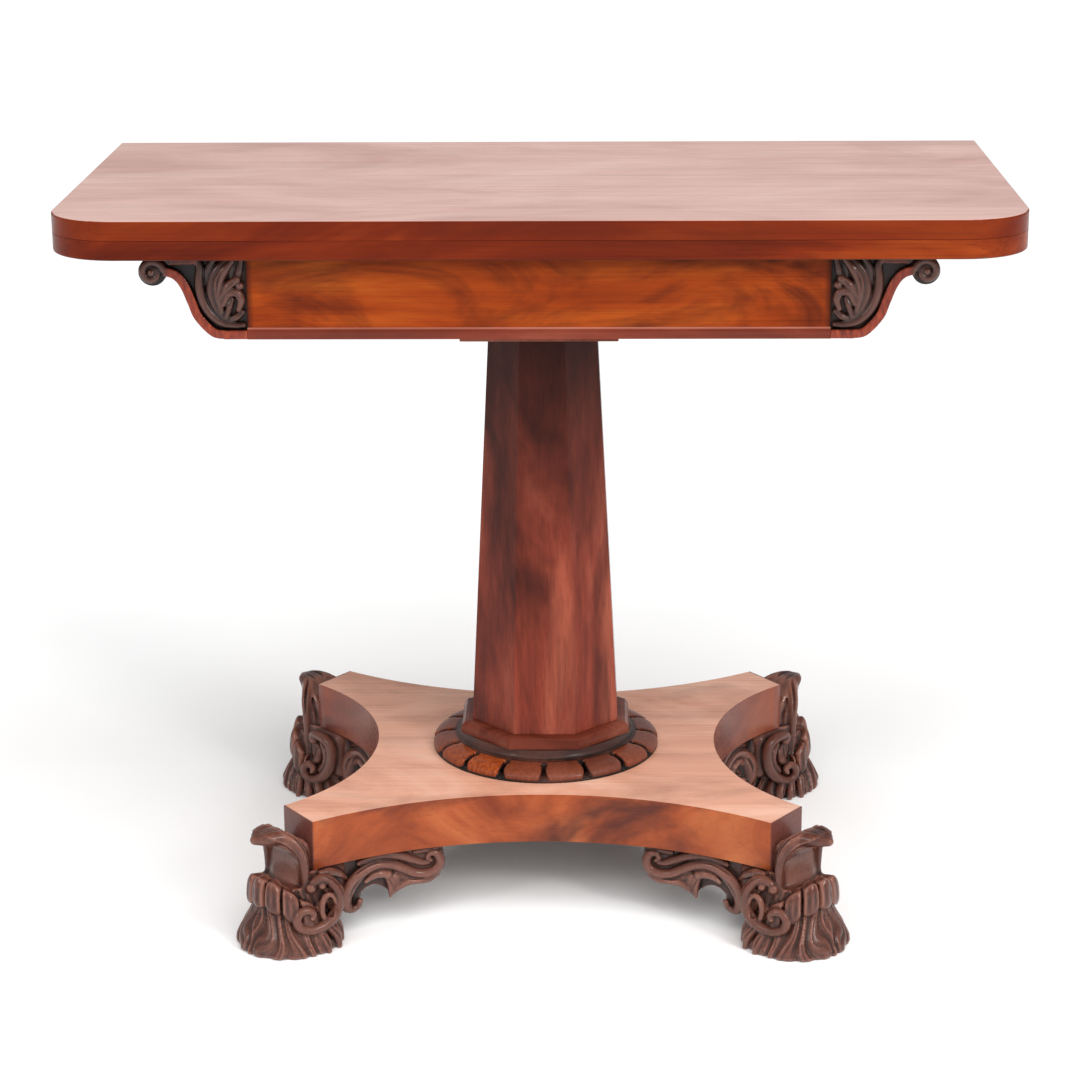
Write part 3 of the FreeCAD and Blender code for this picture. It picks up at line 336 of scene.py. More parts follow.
def foot_scroll(clay):
    """C-scroll on the flank below the long hollow side: volute below, curl above, tufts of fur behind."""
    route = [(13, 33, 64), (10, 34.5, 70), (3, 37.5, 73), (-4, 41, 70.5), (-9, 45, 62), (-10.5, 47, 52),
             (-8.5, 47.5, 40), (-1, 47, 31.5), (10, 45.5, 26.5), (22, 43, 25.5), (32, 39.5, 30),
             (35, 38, 38.5), (31, 39, 45.5), (24, 41.5, 46.5), (19, 43.5, 42.5), (20.5, 44, 38.5)]
    sizes = [4, 4.6, 5, 5.2, 5.4, 5.6, 5.8, 5.8, 5.6, 5.2, 4.8, 4.6, 4.4, 4.2, 3.6, 3]
    clay.stroke(route, sizes, 1.2)
    clay.blob((13.5, 34, 65.5), (5.4, 5.4, 5.4), soft=0.8)
    clay.blob((4, 40, 67), (4.2, 4.2, 4.2), soft=0.8)
    angles = np.radians(np.linspace(20, 340, 12))
    ear = [(1 - 7.5 * math.cos(a), 46.5 + 2.2 * math.cos(a), 44 + 14 * math.sin(a)) for a in angles]
    clay.stroke(ear, [2.2, 3, 3, 2.4], 0.8)
    clay.blob((1, 50, 44), (4, 7, 9), soft=0.8, groove=True)
    crease = [(3, 42.5, 77), (-6, 46.5, 72), (-12.5, 51, 62), (-14, 53, 51), (-11.5, 53.5, 39), (-2, 53, 28)]
    clay.stroke(crease, [0.5, 1.2, 1.5, 1.5, 1.3, 0.5], 0.8, True)
    tufts = [((3, 45, 26), (-4, 49.5, 16), (-7, 51, 3)), ((12, 45, 20), (9, 50, 11), (8, 53, 2)),
             ((-10, 38, 27), (-15, 40, 16), (-18, 41, 4))]
    fur_tufts(clay, tufts, 1)


BLOCK_LEAVES = (
    ((-4, 29, 74), (-14, 30, 73), (-26, 29, 67), (-37, 26, 58)),
    ((-6, 30, 66), (-15, 31, 62), (-25, 30, 53), (-34, 27, 42)),
    ((-8, 31, 56), (-15, 32, 50), (-22, 31, 40), (-28, 28, 28)),
    ((-8, 32, 45), (-12, 33, 39), (-16, 32, 30), (-19, 30, 20)),
)


def foot_surface():
    """Paw, rounded block behind it, shield leaf, cuff and both scrolls."""
    clay = Clay((-44, -62, -3), (70, 62, 131), FOOT_GRID)
    paw(clay)
    spans, (u, v, z) = clay.whole()
    over = [np.maximum(np.abs(a) - half, 0) for a, half in ((u + 18, 12), (v, 19), (z - 52, 17))]
    clay.work(spans, np.sqrt(over[0] ** 2 + over[1] ** 2 + over[2] ** 2) - 10, 6.0, False)
    for route in BLOCK_LEAVES:
        clay.stroke(route, [3.2, 4.6, 4.2, 2.4], 0.9)
    foot_shield(clay)
    foot_cuff(clay)
    foot_scroll(clay)
    foot_side_scroll(clay)
    clay.keep(np.maximum(-z, -(u + 40)) + 0 * v)
    points, faces, relief = clay.surface()
    out, across, up = points.T
    # painted light: lifts the relief of the shield's hollow field, which lies in the hood's shade
    hollow = np.clip((26 - np.abs(across)) / 6, 0, 1) * np.clip((up - 60) / 10, 0, 1)
    hollow = hollow * np.clip((36 - out) / 6, 0, 1)
    return points, faces, relief + 0.5 * hollow


def foot_place(side, depth):
    def place(points):
        u, v, z = points.T
        x = CORNER[0] + u * math.cos(FOOT_TURN) - v * math.sin(FOOT_TURN)
        y = CORNER[1] + u * math.sin(FOOT_TURN) + v * math.cos(FOOT_TURN)
        return np.column_stack([side * x, depth * y, z])
    return place


# wings: along the platform from the rolled tip to the foot, outwards, and up from the floor

def wing_surface(length):
    """Leaf scroll: rolled at its tip, with a drooping point, a hollow and a curl beside the foot."""
    clay = Clay((-6, -28, 12), (length + 14, 8, 82), WING_GRID)
    share = length / LONG_WING[1]

    def leaf(route, sizes, depth=-6.0, soft=1.2, groove=False):
        clay.stroke([(share * x, depth, z) for x, z in route], sizes, soft, groove)

    ground = [(3, 72), (1, 60), (2, 50), (8, 43), (20, 38.5), (37, 39.5), (46, 34), (55, 28), (61, 36.5),
              (67, 41), (72, 42.5), (78, 41), (84, 36), (84, 29), (88, 22), (96, 18.5), (106, 22), (141, 38),
              (141, 79), (3, 79)]
    clay.slab([(share * x, z) for x, z in ground], -24, -8, 1.0, shrink=1.5)
    leaf([(84.5, 30), (87, 25), (93, 23.5), (98, 30), (96.5, 42), (90, 53.5), (79, 62.5), (66, 66),
          (53, 63.5), (41, 57), (30, 50.5), (19, 48.5), (9.5, 52), (5.5, 60), (8, 68.5), (14, 70.5),
          (17.5, 66), (14.5, 62.5)],
         [2.8, 3.6, 4.4, 5.8, 6.8, 7, 6.6, 5.8, 5.2, 5, 5.2, 5.6, 5.6, 5, 4.4, 3.6, 2.8, 2.2])
    leaf([(84, 71), (66, 75), (48, 72.5), (34, 66), (24, 61), (17, 60)], [3.5, 4.2, 4.6, 4.4, 3.6, 2.4], -7)
    leaf([(30, 73), (20, 74), (9, 75)], [3, 3.6, 3], -8)
    leaf([(57, 55), (54, 46), (53.8, 37), (55, 29.5)], [4.6, 4.8, 4, 1.6], -5)
    leaf([(53, 34), (46, 39), (37, 43), (27, 43), (17, 43), (9, 47)], [2.6, 4, 4.6, 4.4, 4, 3], -5)
    leaf([(45, 52), (40, 47), (33, 46)], [3, 3.4, 2.4], -6)
    leaf([(50, 50), (48.5, 41), (53, 32)], [6.5, 5.5, 2.2], -7, 2.0)
    leaf([(78, 51.5), (71, 56), (63, 57), (57, 55)], [2.2, 3.8, 4.4, 4.2], -3.2)
    leaf([(71, 49), (66, 49.5), (62.5, 46)], [2.2, 3.4, 2.2], -5, 0.8, True)
    leaf([(88, 62), (74, 69.5), (60, 70), (47, 65.5), (36, 59), (27, 55)],
         [0.6, 1.4, 1.5, 1.5, 1.3, 0.6], -1.0, 0.8, True)
    leaf([(50, 58), (42, 51), (32, 46.5), (22, 45)], [0.6, 1.3, 1.4, 0.6], -1.6, 0.8, True)
    leaf([(56, 50), (52.5, 42), (52.5, 34)], [0.6, 1.1, 0.5], -0.2, 0.8, True)
    leaf([(91, 30), (93, 40), (87.5, 51), (78, 59)], [0.5, 1.2, 1.4, 0.6], 0.2, 0.8, True)
    leaf([(112, 74), (106, 62), (106, 48), (110, 38)], [4, 5, 5, 4], -7)
    _, (x, t, z) = clay.whole()
    clay.keep(z - PLATFORM_BOTTOM + 0 * x + 0 * t)
    points, faces, relief = clay.surface()
    # painted highlight on what stands forward in the leaves, painted shade on what lies further back
    return points, faces, relief + 0.09 * np.clip(points[:, 1] + 3, -4, 3)


def bent(points, start, arc, waist):
    """Places along and away from the middle, round the arc of a hollow side."""
    along = points[:, 0] + start
    reach = arc + WING_INSET - points[:, 1]
    return along, waist + arc - np.sqrt(reach**2 - along**2)


def long_place(side, depth):
    def place(points):
        x, y = bent(points, LONG_WING[0], LONG_ARC, WAIST[1])
        return np.column_stack([side * x, depth * y, points[:, 2]])
    return place


def side_place(side, depth):
    def place(points):
        y, x = bent(points, SIDE_WING[0], SIDE_ARC, WAIST[0])
        return np.column_stack([side * x, depth * y, points[:, 2]])
    return place


# brackets: outwards from the frieze's corner, forwards, and up from its lower edge

RIM = [(0, 0), (14, 0), (21, 0), (34.2, 3.1), (48.8, 18.8), (54.6, 33), (60.8, 48.5), (68, 57.5), (79.4, 61)]
VOLUTE = (87.5, 63)
VOLUTE_RADIUS = 13.2


def bracket_surface():
    """S-shaped rim that ends in a volute, round a deep field filled by a curling leaf."""
    clay = Clay((-2, -36, -2), (104, 6, 81), BRACKET_GRID)
    rim_line = eased([(x, 0, z) for x, z in RIM], [1])[0][:, (0, 2)]
    outline = [tuple(point) for point in rim_line] + [(86.5, 62), (86.5, BRACKET_HEIGHT), (0, BRACKET_HEIGHT)]
    clay.slab(outline, -34, -9, 1.0)
    spans, (x, t, z) = clay.whole()
    volute = np.sqrt((x - VOLUTE[0]) ** 2 + (z - VOLUTE[1]) ** 2) - VOLUTE_RADIUS
    clay.work(spans, np.maximum(volute, np.abs(t + 20) - 13.6), 1.0, False)
    inside = polygon_distance(outline, x[:, 0, :], z[0, :, :])
    band = np.min([np.hypot(x[:, 0, :] - a, z[0, :, :] - b) for a, b in rim_line], axis=0) - 8.2
    rim = np.maximum(np.maximum(inside, band), x[:, 0, :] - 77)[:, None, :]
    clay.work(spans, np.maximum(rim, np.abs(t + 16) - 15.6), 1.4, False)

    def leaf(route, sizes, depth=-4.5, soft=1.0, groove=False):
        clay.stroke([(px, depth, pz) for px, pz in route], sizes, soft, groove)

    clay.slab([(45, 71), (72, 70), (80, 78), (45, 78)], -20, -2.4, 1.0)
    leaf([(4, 12.5), (13, 12.5), (25, 15.5), (34.5, 24), (40.5, 34.5), (43.5, 46), (44, 57), (43, 68),
          (46, 77)],
         [2.6, 3.4, 4.2, 4.8, 5, 5, 4.6, 4, 3.4], -5)
    leaf([(19, 17), (28, 28), (32.5, 40), (33, 50), (30.5, 60), (24, 69), (15, 76)],
         [2.8, 4, 4.6, 4.6, 4.4, 4, 3.4], -5)
    leaf([(24, 26), (26, 41), (25.5, 54), (20, 65), (12.5, 74)], [2.8, 4.8, 5.6, 5, 3.2], -3.6)
    leaf([(36.5, 52), (35.5, 65), (29, 76.5)], [2.6, 3.6, 3.4], -5.4)
    leaf([(24, 40), (17, 50), (8.5, 56.5)], [3.2, 4.4, 3.6], -2.4)
    leaf([(8.5, 56.5), (6.5, 64), (4.2, 75)], [3.2, 3.6, 2.8], -5)
    leaf([(14, 58), (13, 66), (9.5, 75)], [2.6, 3.2, 2.4], -6)
    leaf([(22, 33), (16.5, 43), (8.5, 44), (5, 37), (7.5, 28)], [3, 4.2, 4.4, 3.8, 2.6], -3)
    leaf([(19.5, 21), (16, 31.5), (13.5, 37.5)], [2.8, 3.4, 2.4], -4)
    leaf([(4.5, 25), (10, 20.5), (18, 17)], [2.8, 3.8, 3], -5)
    clay.blob((6, -3.6, 50.5), (4.4, 4.2, 4), soft=0.8)
    leaf([(21, 67), (26, 57), (27.5, 44)], [0.6, 1.4, 0.6], 1.8, 0.8, True)
    leaf([(20, 46), (12, 54.5)], [0.6, 1.1], 2, 0.8, True)
    leaf([(13, 45), (7.5, 41), (7, 33)], [0.6, 1.1, 0.6], 1.4, 0.8, True)
    curl = spiral(VOLUTE, -4.2, (11.2, 2.6), (165, -330), 28)
    clay.stroke(curl, [4.2, 4.2, 4, 3.6, 3.2, 2.6, 2], 0.7)
    clay.blob((88, -3.4, 63), (3.8, 4, 3.8), soft=0.5)
    clay.keep(np.maximum(z - 78.4, -x) + 0 * t)
    points, faces, relief = clay.surface()
    across, out, up = points.T
    near = np.min([np.hypot(across - a, up - b) for a, b in rim_line], axis=0)
    mask = np.clip((8.6 - near) / 1.0, 0, 1) * (out > -2.6) * np.clip((76 - across) / 4, 0, 1)
    mask = np.maximum(mask, 0.5 * ((up > 70) & (across > 45) & (across < 70)))
    # painted highlight on what stands forward, painted shade on what lies deep in the field
    relief = relief + 0.2 * np.clip(out + 2, -5, 2) - 0.4 * np.clip((-out - 5.5) / 3, 0, 1)
    return (points, faces, relief), {"rim": mask}


def bracket_place(side):
    def place(points):
        return np.column_stack([side * (FRIEZE_X + points[:, 0]), BRACKET_FRONT - points[:, 1],
                                FRIEZE_BOTTOM + points[:, 2]])
    return place


# petal collar

def collar_surface():
    """Ring of cushion petals parted by keyhole slits, with small tips between them and a hollow neck."""
    extent = COLLAR_RADIUS + 3
    clay = Clay((-extent, -extent, -1.5), (extent, extent, 27), COLLAR_GRID)
    spans, (x, y, z) = clay.whole()
    radius = np.sqrt(x**2 + y**2)
    pitch = 2 * math.pi / PETALS
    heading = np.arctan2(y, x)
    swing = np.mod(heading, pitch) - pitch / 2
    edge = (pitch / 2 - np.abs(swing)) * radius
    crown = 4.0 + 10.5 * np.sqrt(np.clip(1 - (np.clip(radius - 95, 0, 23) / 23.4) ** 2, 0, 1))
    crown = crown - 1.8 * np.exp(-edge / 2.0)
    petal = np.maximum(np.maximum((z - crown) * 0.7, radius - COLLAR_RADIUS + 0.2), -z)
    mouth = np.interp(radius, [96, 97.5, 99.5, 102, 104, 111, 115, 119],
                      [-4, 2.8, 4.2, 3.0, 2.1, 2.1, 3.6, 7.5])
    petal = np.maximum(petal, -np.maximum(edge - mouth, 2.0 - z))
    clay.work(spans, np.maximum(petal, COLLAR_BORE - radius), 0.5, False)
    point = np.sqrt(((radius - 111) / 6.5) ** 2 + (edge / 5) ** 2 + ((z - 1) / 5) ** 2) - 1
    clay.work(spans, point * 4, 0.6, False)
    neck = np.interp(z, [13, 14.5, 16, 18.5, 22, COLLAR_TOP], [94.5, 93.2, 91, 89.4, 88.6, 88.4])
    ring = np.maximum(np.maximum(radius - neck, z - COLLAR_TOP), np.maximum(COLLAR_BORE - radius, 8 - z))
    clay.work(spans, ring, 0.6, False)
    clay.keep(-z + 0 * radius)
    points, faces, relief = clay.surface()
    heading = np.arctan2(points[:, 1], points[:, 0])
    place = np.mod(heading, 2 * math.pi) // pitch
    tints = np.array([0.1, 0.3, 0.2, 0.0, 0.35, 0.15, 0.2, 0.4, 0.3, 0.7, 0.85, 0.3, 0.2, 0.1, 0.35, 0.2])
    reach = np.hypot(points[:, 0], points[:, 1])
    outside = reach > 95.5
    relief = np.minimum(relief, np.where(outside, 0.15, -0.35))
    # painted shade: darkens the slits between the petals, their floors and the foot of the petals
    gap = pitch / 2 - np.abs(np.mod(heading, pitch) - pitch / 2)
    relief = relief - 0.9 * np.exp(-((gap * reach / 3.0) ** 2)) * outside
    relief = relief - 1.2 * np.clip((np.where(reach < 113, 9, 4) - points[:, 2]) / 3, 0, 1)
    mask = tints[place.astype(int) % PETALS] * outside * (relief > -0.25)
    return (points, faces, relief), {"rim": mask}


def collar_place(points):
    return points + np.array([0, 0, PLATFORM_TOP])


# materials

def tone(red, green, blue):
    """Screen colour to the linear colour of a shader."""
    shares = np.array([red, green, blue]) / 255
    linear = np.where(shares <= 0.04045, shares / 12.92, ((shares + 0.055) / 1.055) ** 2.4)
    return (*(float(value) for value in linear), 1.0)


class Shader:
    """One node material, with short ways to add and join nodes."""

    def __init__(self, name):
        self.material = bpy.data.materials.new(name)
        self.material.use_nodes = True
        self.tree = self.material.node_tree
        self.surface = self.tree.nodes["Principled BSDF"]
        self.spot = self.node("ShaderNodeTexCoord")

    def node(self, kind, inputs=None, **settings):
        made = self.tree.nodes.new(kind)
        for key, value in settings.items():
            setattr(made, key, value)
        for key, value in (inputs or {}).items():
            self.feed(made.inputs[key], value)
        return made

    def feed(self, socket, value):
        if isinstance(value, bpy.types.NodeSocket):
            self.tree.links.new(value, socket)
        else:
            socket.default_value = value

    def noise(self, stretch, scale, detail=3.0, roughness=0.55, distortion=0.0):
        spread = self.node("ShaderNodeMapping", {"Vector": self.spot.outputs["Object"], "Scale": stretch})
        inputs = {"Vector": spread.outputs[0], "Scale": scale, "Detail": detail, "Roughness": roughness,
                  "Distortion": distortion}
        return self.node("ShaderNodeTexNoise", inputs).outputs["Fac"]

    def ramp(self, value, stops):
        made = self.node("ShaderNodeValToRGB", {"Fac": value})
        band = made.color_ramp
        while len(band.elements) < len(stops):
            band.elements.new(0.5)
        for element, (place, colour) in zip(band.elements, stops):
            element.position = place
            element.color = colour if isinstance(colour, tuple) else (colour, colour, colour, 1)
        return made.outputs["Color"]

    def span(self, value, low, high, start=0.0, end=1.0):
        inputs = {"Value": value, "From Min": low, "From Max": high, "To Min": start, "To Max": end}
        return self.node("ShaderNodeMapRange", inputs).outputs["Result"]

    def mix(self, share, first, second, blend="MIX"):
        made = self.node("ShaderNodeMix", data_type="RGBA", blend_type=blend)
        self.feed(made.inputs[0], share)
        self.feed(made.inputs[6], first)
        self.feed(made.inputs[7], second)
        return made.outputs[2]

    def maths(self, operation, first, second=0.0):
        made = self.node("ShaderNodeMath", operation=operation)
        self.feed(made.inputs[0], first)
        self.feed(made.inputs[1], second)
        return made.outputs[0]

    def bump(self, height, strength, distance):
        inputs = {"Height": height, "Strength": strength, "Distance": distance}
        made = self.node("ShaderNodeBump", inputs)
        self.feed(self.surface.inputs["Normal"], made.outputs[0])

    def facing(self, axis):
        """Share of the surface's own normal along one direction of the object."""
        split = self.node("ShaderNodeSeparateXYZ", {0: self.spot.outputs["Normal"]})
        return split.outputs[axis]

    def place(self, axis):
        """Position along one direction of the object."""
        split = self.node("ShaderNodeSeparateXYZ", {0: self.spot.outputs["Object"]})
        return split.outputs[axis]

    def set(self, **values):
        """Feeds the surface's own sockets, named in small letters."""
        for key, value in values.items():
            self.feed(self.surface.inputs[key.replace("_", " ").title().replace("Ior", "IOR")], value)


ALONG = {"x": (1.0, 12.0, 12.0), "y": (12.0, 1.0, 12.0), "z": (12.0, 12.0, 1.0)}
UPWARD = (0.6, 0.9)
DOWNWARD = (-0.6, -0.9)
SIDEWAYS = (0.58, 0.72)
SCAR = (70, 36, 28)
# tone of the painted shade that darkens the column's top
DUSK = (30, 10, 8)
COAT_ROUGHNESS = 0.16


def wood(name, tones, grain, figure, swirl, draw=0.25, clouds=None, up=None, down=None, rough=0.3, coat=0.25,
         streak=0.6, scars=0.0, ends=None, sheen=0.15, dusk=None, crown=None, flanks=None):
    """Polished mahogany: broad figure, fine streaks, pores and dark clouds.

    tones, and up and down for faces turned that way: dark, middle and light colour.
    clouds: colour, share and scale. ends: weights of x and y, range and colour of the painted shade on what
    lies far out.
    dusk: heights between which it darkens, a painted shade. crown: heights between which the up tones begin.
    flanks: colour of faces turned to the left and right.
    """
    shader = Shader(name)
    stretch = ALONG[grain]
    broad = shader.noise(tuple(draw * s + 1 - draw for s in stretch), figure, 5.0, 0.6, swirl)
    streaks = shader.noise(tuple(s * s / 12 for s in stretch), 16.0, 5.0, 0.65, 0.2)
    pores = shader.noise(tuple(s * s / 8 for s in stretch), 55.0, 2.0, 0.5)

    def stack(shades):
        dark, middle, light = (tone(*shade) for shade in shades)
        return shader.ramp(broad, [(0.32, dark), (0.5, middle), (0.68, light)])

    colour = stack(tones)
    for shades, turned in ((up, UPWARD), (down, DOWNWARD)):
        if shades:
            if crown and turned is UPWARD:
                share = shader.span(shader.place("Z"), *crown)
            else:
                share = shader.span(shader.facing("Z"), *turned)
            colour = shader.mix(share, colour, stack(shades))
    if clouds:
        shade, amount, scale = clouds
        patch = shader.noise(tuple(0.12 * s + 0.88 for s in stretch), scale, 4.0, 0.6, 1.2)
        share = shader.maths("MULTIPLY", shader.span(patch, 0.48, 0.66), amount)
        if up:
            fainter = shader.span(shader.facing("Z"), *UPWARD, 1.0, 0.3)
            share = shader.maths("MULTIPLY", share, fainter)
        colour = shader.mix(share, colour, tone(*shade))
    lines = shader.ramp(streaks, [(0.3, 0.72), (0.5, 1.0), (0.72, 1.14)])
    colour = shader.mix(streak, colour, lines, "MULTIPLY")
    colour = shader.mix(streak * 0.7, colour, shader.ramp(pores, [(0.36, 0.55), (0.44, 1.0)]), "MULTIPLY")
    if scars:
        marks = shader.node("ShaderNodeTexVoronoi", {"Vector": shader.spot.outputs["Object"], "Scale": 34.0})
        spots = shader.span(marks.outputs["Distance"], 0.05, 0.02)
        chance = shader.span(shader.noise((1, 1, 1), 9.0, 1.0), 0.6, 0.66)
        share = shader.maths("MULTIPLY", shader.maths("MULTIPLY", spots, chance), scars)
        colour = shader.mix(share, colour, tone(*SCAR))
    # painted shade: darkens what lies far out, the frieze's ends by the brackets and the platform's corner
    # facets
    if ends:
        (along, across), limits, shade = ends
        reach = shader.maths("ABSOLUTE", shader.place("X"))
        if across:
            aside = shader.maths("MULTIPLY", shader.maths("ABSOLUTE", shader.place("Y")), across)
            reach = shader.maths("ADD", shader.maths("MULTIPLY", reach, along), aside)
        colour = shader.mix(shader.span(reach, *limits), colour, tone(*shade))
    if flanks:
        share = shader.span(shader.maths("ABSOLUTE", shader.facing("X")), *SIDEWAYS, 0.0, 0.7)
        colour = shader.mix(share, colour, tone(*flanks))
    # painted shade: darkens upwards, as the table top shades the column's top
    if dusk:
        colour = shader.mix(shader.span(shader.place("Z"), *dusk, 0.0, 0.85), colour, tone(*DUSK))
    shader.set(base_color=colour, roughness=shader.span(streaks, 0.25, 0.75, rough - 0.06, rough + 0.12))
    polish = shader.span(shader.facing("Z"), *UPWARD, 0.3 * sheen, 0.35 * coat)
    shader.set(specular_ior_level=sheen, coat_weight=polish, coat_roughness=COAT_ROUGHNESS)
    shader.bump(shader.maths("ADD", streaks, pores), 0.1, 0.0005)
    return shader.material


def carving(name, low, middle, high, glow, rough=0.3):
    """Shader of waxed carving: black in the hollows from dark wax and painted shade, brown on the flanks,
    lighter on what stands proud from wear and painted highlight.
    """
    shader = Shader(name)
    relief = shader.node("ShaderNodeAttribute", attribute_name="relief").outputs["Fac"]
    patches = shader.noise((1, 1, 1), 24.0, 4.0, 0.6)
    fibres = shader.noise((6, 6, 1), 60.0, 4.0, 0.6)
    height = shader.maths("ADD", relief, shader.span(patches, 0.2, 0.8, -0.12, 0.12))
    # the relief ramp paints shade into the hollows and highlights onto what stands proud
    colour = shader.ramp(shader.span(height, -0.75, 0.85),
                         [(0.1, tone(*low)), (0.42, tone(*middle)), (0.62, tone(*high)), (0.9, tone(*glow))])
    worn = shader.span(shader.noise((1, 1, 1), 11.0, 3.0), 0.45, 0.7)
    colour = shader.mix(shader.maths("MULTIPLY", worn, 0.35), colour, tone(*glow))
    colour = shader.mix(0.7, colour, shader.ramp(fibres, [(0.3, 0.7), (0.55, 1.0), (0.75, 1.12)]), "MULTIPLY")
    shader.set(base_color=colour, roughness=shader.span(height, -0.6, 0.7, rough + 0.22, rough - 0.06))
    shader.set(coat_weight=0.15, coat_roughness=COAT_ROUGHNESS, specular_ior_level=0.4)
    shader.bump(shader.maths("ADD", fibres, shader.span(patches, 0.2, 0.8)), 0.16, 0.0008)
    return shader


def rimmed(name, low, middle, high, glow, rim):
    """Carving whose flat rim is polished and bright."""
    shader = carving(name, low, middle, high, glow)
    link = shader.surface.inputs["Base Color"].links[0]
    share = shader.node("ShaderNodeAttribute", attribute_name="rim").outputs["Fac"]
    streaks = shader.noise((8, 8, 2), 40.0, 4.0, 0.6)
    bright = shader.ramp(streaks, [(0.3, tone(*rim[0])), (0.52, tone(*rim[1])), (0.7, tone(*rim[2]))])
    shader.set(base_color=shader.mix(share, link.from_socket, bright))
    return shader.material


def metal(name, dark, bright, rough):
    """Old metal, dull in patches and brighter where it is rubbed."""
    shader = Shader(name)
    patches = shader.noise((1, 1, 1), 140.0, 4.0, 0.6)
    scratches = shader.noise((1, 9, 9), 300.0, 2.0)
    colour = shader.ramp(patches, [(0.35, tone(*dark)), (0.65, tone(*bright))])
    dull = shader.span(scratches, 0.3, 0.7, rough - 0.08, rough + 0.14)
    shader.set(base_color=colour, metallic=1.0, roughness=dull)
    shader.bump(shader.maths("ADD", patches, scratches), 0.15, 0.0002)
    return shader.material


def floor_material():
    """Plain pale floor with a faint mottle."""
    shader = Shader("studio_floor")
    mottle = shader.noise((1, 1, 1), 3.0, 2.0)
    colour = shader.ramp(mottle, [(0.3, tone(250, 250, 250)), (0.7, tone(254, 254, 254))])
    shader.set(base_color=colour, roughness=0.9)
    return shader.material


# dark, middle and light colours, named by where they show
EDGE = ((66, 16, 4), (102, 31, 8), (134, 52, 14))
BROAD_EDGE = ((78, 20, 5), (112, 36, 9), (142, 58, 16))
FADED = ((197, 153, 142), (210, 170, 160), (222, 187, 177))
INSIDE = ((104, 40, 18), (138, 60, 30), (164, 84, 46))
BARE = ((70, 44, 30), (92, 60, 42), (110, 76, 54))
BEARER = ((108, 52, 38), (138, 76, 58), (158, 96, 76))

upper_wood = wood("mahogany_upper_leaf", EDGE, "x", figure=2.0, swirl=1.2, draw=0.12,
                  clouds=((84, 28, 12), 0.45, 4.0), up=FADED, down=INSIDE, rough=0.26, coat=0.4, streak=0.4,
                  scars=0.6, sheen=0.1, crown=(0.7273, 0.7279))
lower_wood = wood("mahogany_lower_leaf", BROAD_EDGE, "x", figure=2.4, swirl=0.8,
                  clouds=((70, 20, 8), 0.45, 4.0), up=INSIDE, down=BARE, rough=0.28, coat=0.35, sheen=0.1)
# its ends paint a shadow groove beside the brackets
frieze_wood = wood("mahogany_frieze", ((102, 32, 7), (144, 57, 14), (170, 82, 24)), "x", figure=2.2,
                   swirl=0.9, clouds=((66, 22, 12), 0.8, 6.0), rough=0.28, coat=0.35, sheen=0.08,
                   ends=((1, 0), (0.2655, 0.2725), (44, 16, 10)))
# its pale up tones paint a highlight along the bead's top edge
bead_wood = wood("mahogany_bead", ((78, 22, 8), (112, 40, 19), (146, 70, 46)), "x", figure=3.0, swirl=0.4,
                 up=((150, 90, 72), (178, 114, 98), (198, 140, 124)), sheen=0.3)
# dusk paints the shade that the table top casts on the column's top
column_wood = wood("mahogany_column", ((62, 20, 14), (119, 50, 35), (160, 84, 63)), "z", figure=3.2,
                   swirl=0.7, clouds=((44, 16, 13), 0.7, 4.0), rough=0.24, coat=0.45, sheen=0.12,
                   dusk=(0.34, 0.58))
octagon_wood = wood("mahogany_octagon", ((70, 26, 16), (104, 48, 34), (130, 74, 56)), "x", figure=4.0,
                    swirl=0.6, coat=0.2)
# its ends paint shade on the corner facets
platform_wood = wood("mahogany_platform", ((108, 42, 18), (150, 70, 34), (178, 98, 54)), "x", figure=3.4,
                     swirl=2.2, draw=0.08, clouds=((64, 26, 22), 0.85, 4.2),
                     up=((206, 147, 121), (225, 168, 142), (236, 187, 163)), down=BARE, rough=0.28, coat=0.35,
                     streak=0.3, ends=((0.801, 0.598), (0.3095, 0.3112), (88, 42, 31)), sheen=0.25,
                     flanks=(112, 66, 58))
bearer_wood = wood("stained_bearer", BEARER, "y", figure=3.0, swirl=0.5)
pine = wood("pine_secondary", ((128, 92, 56), (164, 124, 80), (188, 150, 104)), "y", figure=3.0, swirl=0.5,
            rough=0.6, coat=0.0)
brass = metal("aged_brass", (96, 70, 34), (176, 140, 78), 0.4)
iron = metal("dark_iron", (38, 34, 32), (92, 86, 82), 0.5)
foot_wood = carving("carved_mahogany", (12, 5, 3), (58, 28, 21), (88, 50, 40), (126, 82, 69), 0.28).material
collar_wood = rimmed("carved_collar_mahogany", (8, 4, 3), (82, 42, 32), (108, 61, 49), (124, 75, 62),
                     ((104, 38, 9), (146, 62, 17), (170, 82, 28)))
bracket_wood = rimmed("carved_bracket_mahogany", (20, 11, 9), (32, 15, 11), (54, 27, 20), (88, 52, 42),
                      ((82, 20, 7), (118, 38, 14), (142, 58, 26)))

FINISHES = {
    "upper_leaf": upper_wood,
    "lower_leaf": lower_wood,
    "frieze_bead": bead_wood,
    "column": column_wood,
    "octagon_moulding": octagon_wood,
    "platform": platform_wood,
    "column_bearer": bearer_wood,
}
GROUPS = (
    (("frieze_front", "frieze_back", "frieze_end"), frieze_wood),
    (("pivot_bearer", "well_floor", "corner_blocks", "stop_block"), pine),
    (("hinge",), brass),
    (("pivot_", "stop_peg"), iron),
)


def finish_for(name):
    """Material of a solid; those left over are carved and get a piece of their own."""
    if name in FINISHES:
        return FINISHES[name]
    for starts, material in GROUPS:
        if name.startswith(starts):
            return material
    return foot_wood


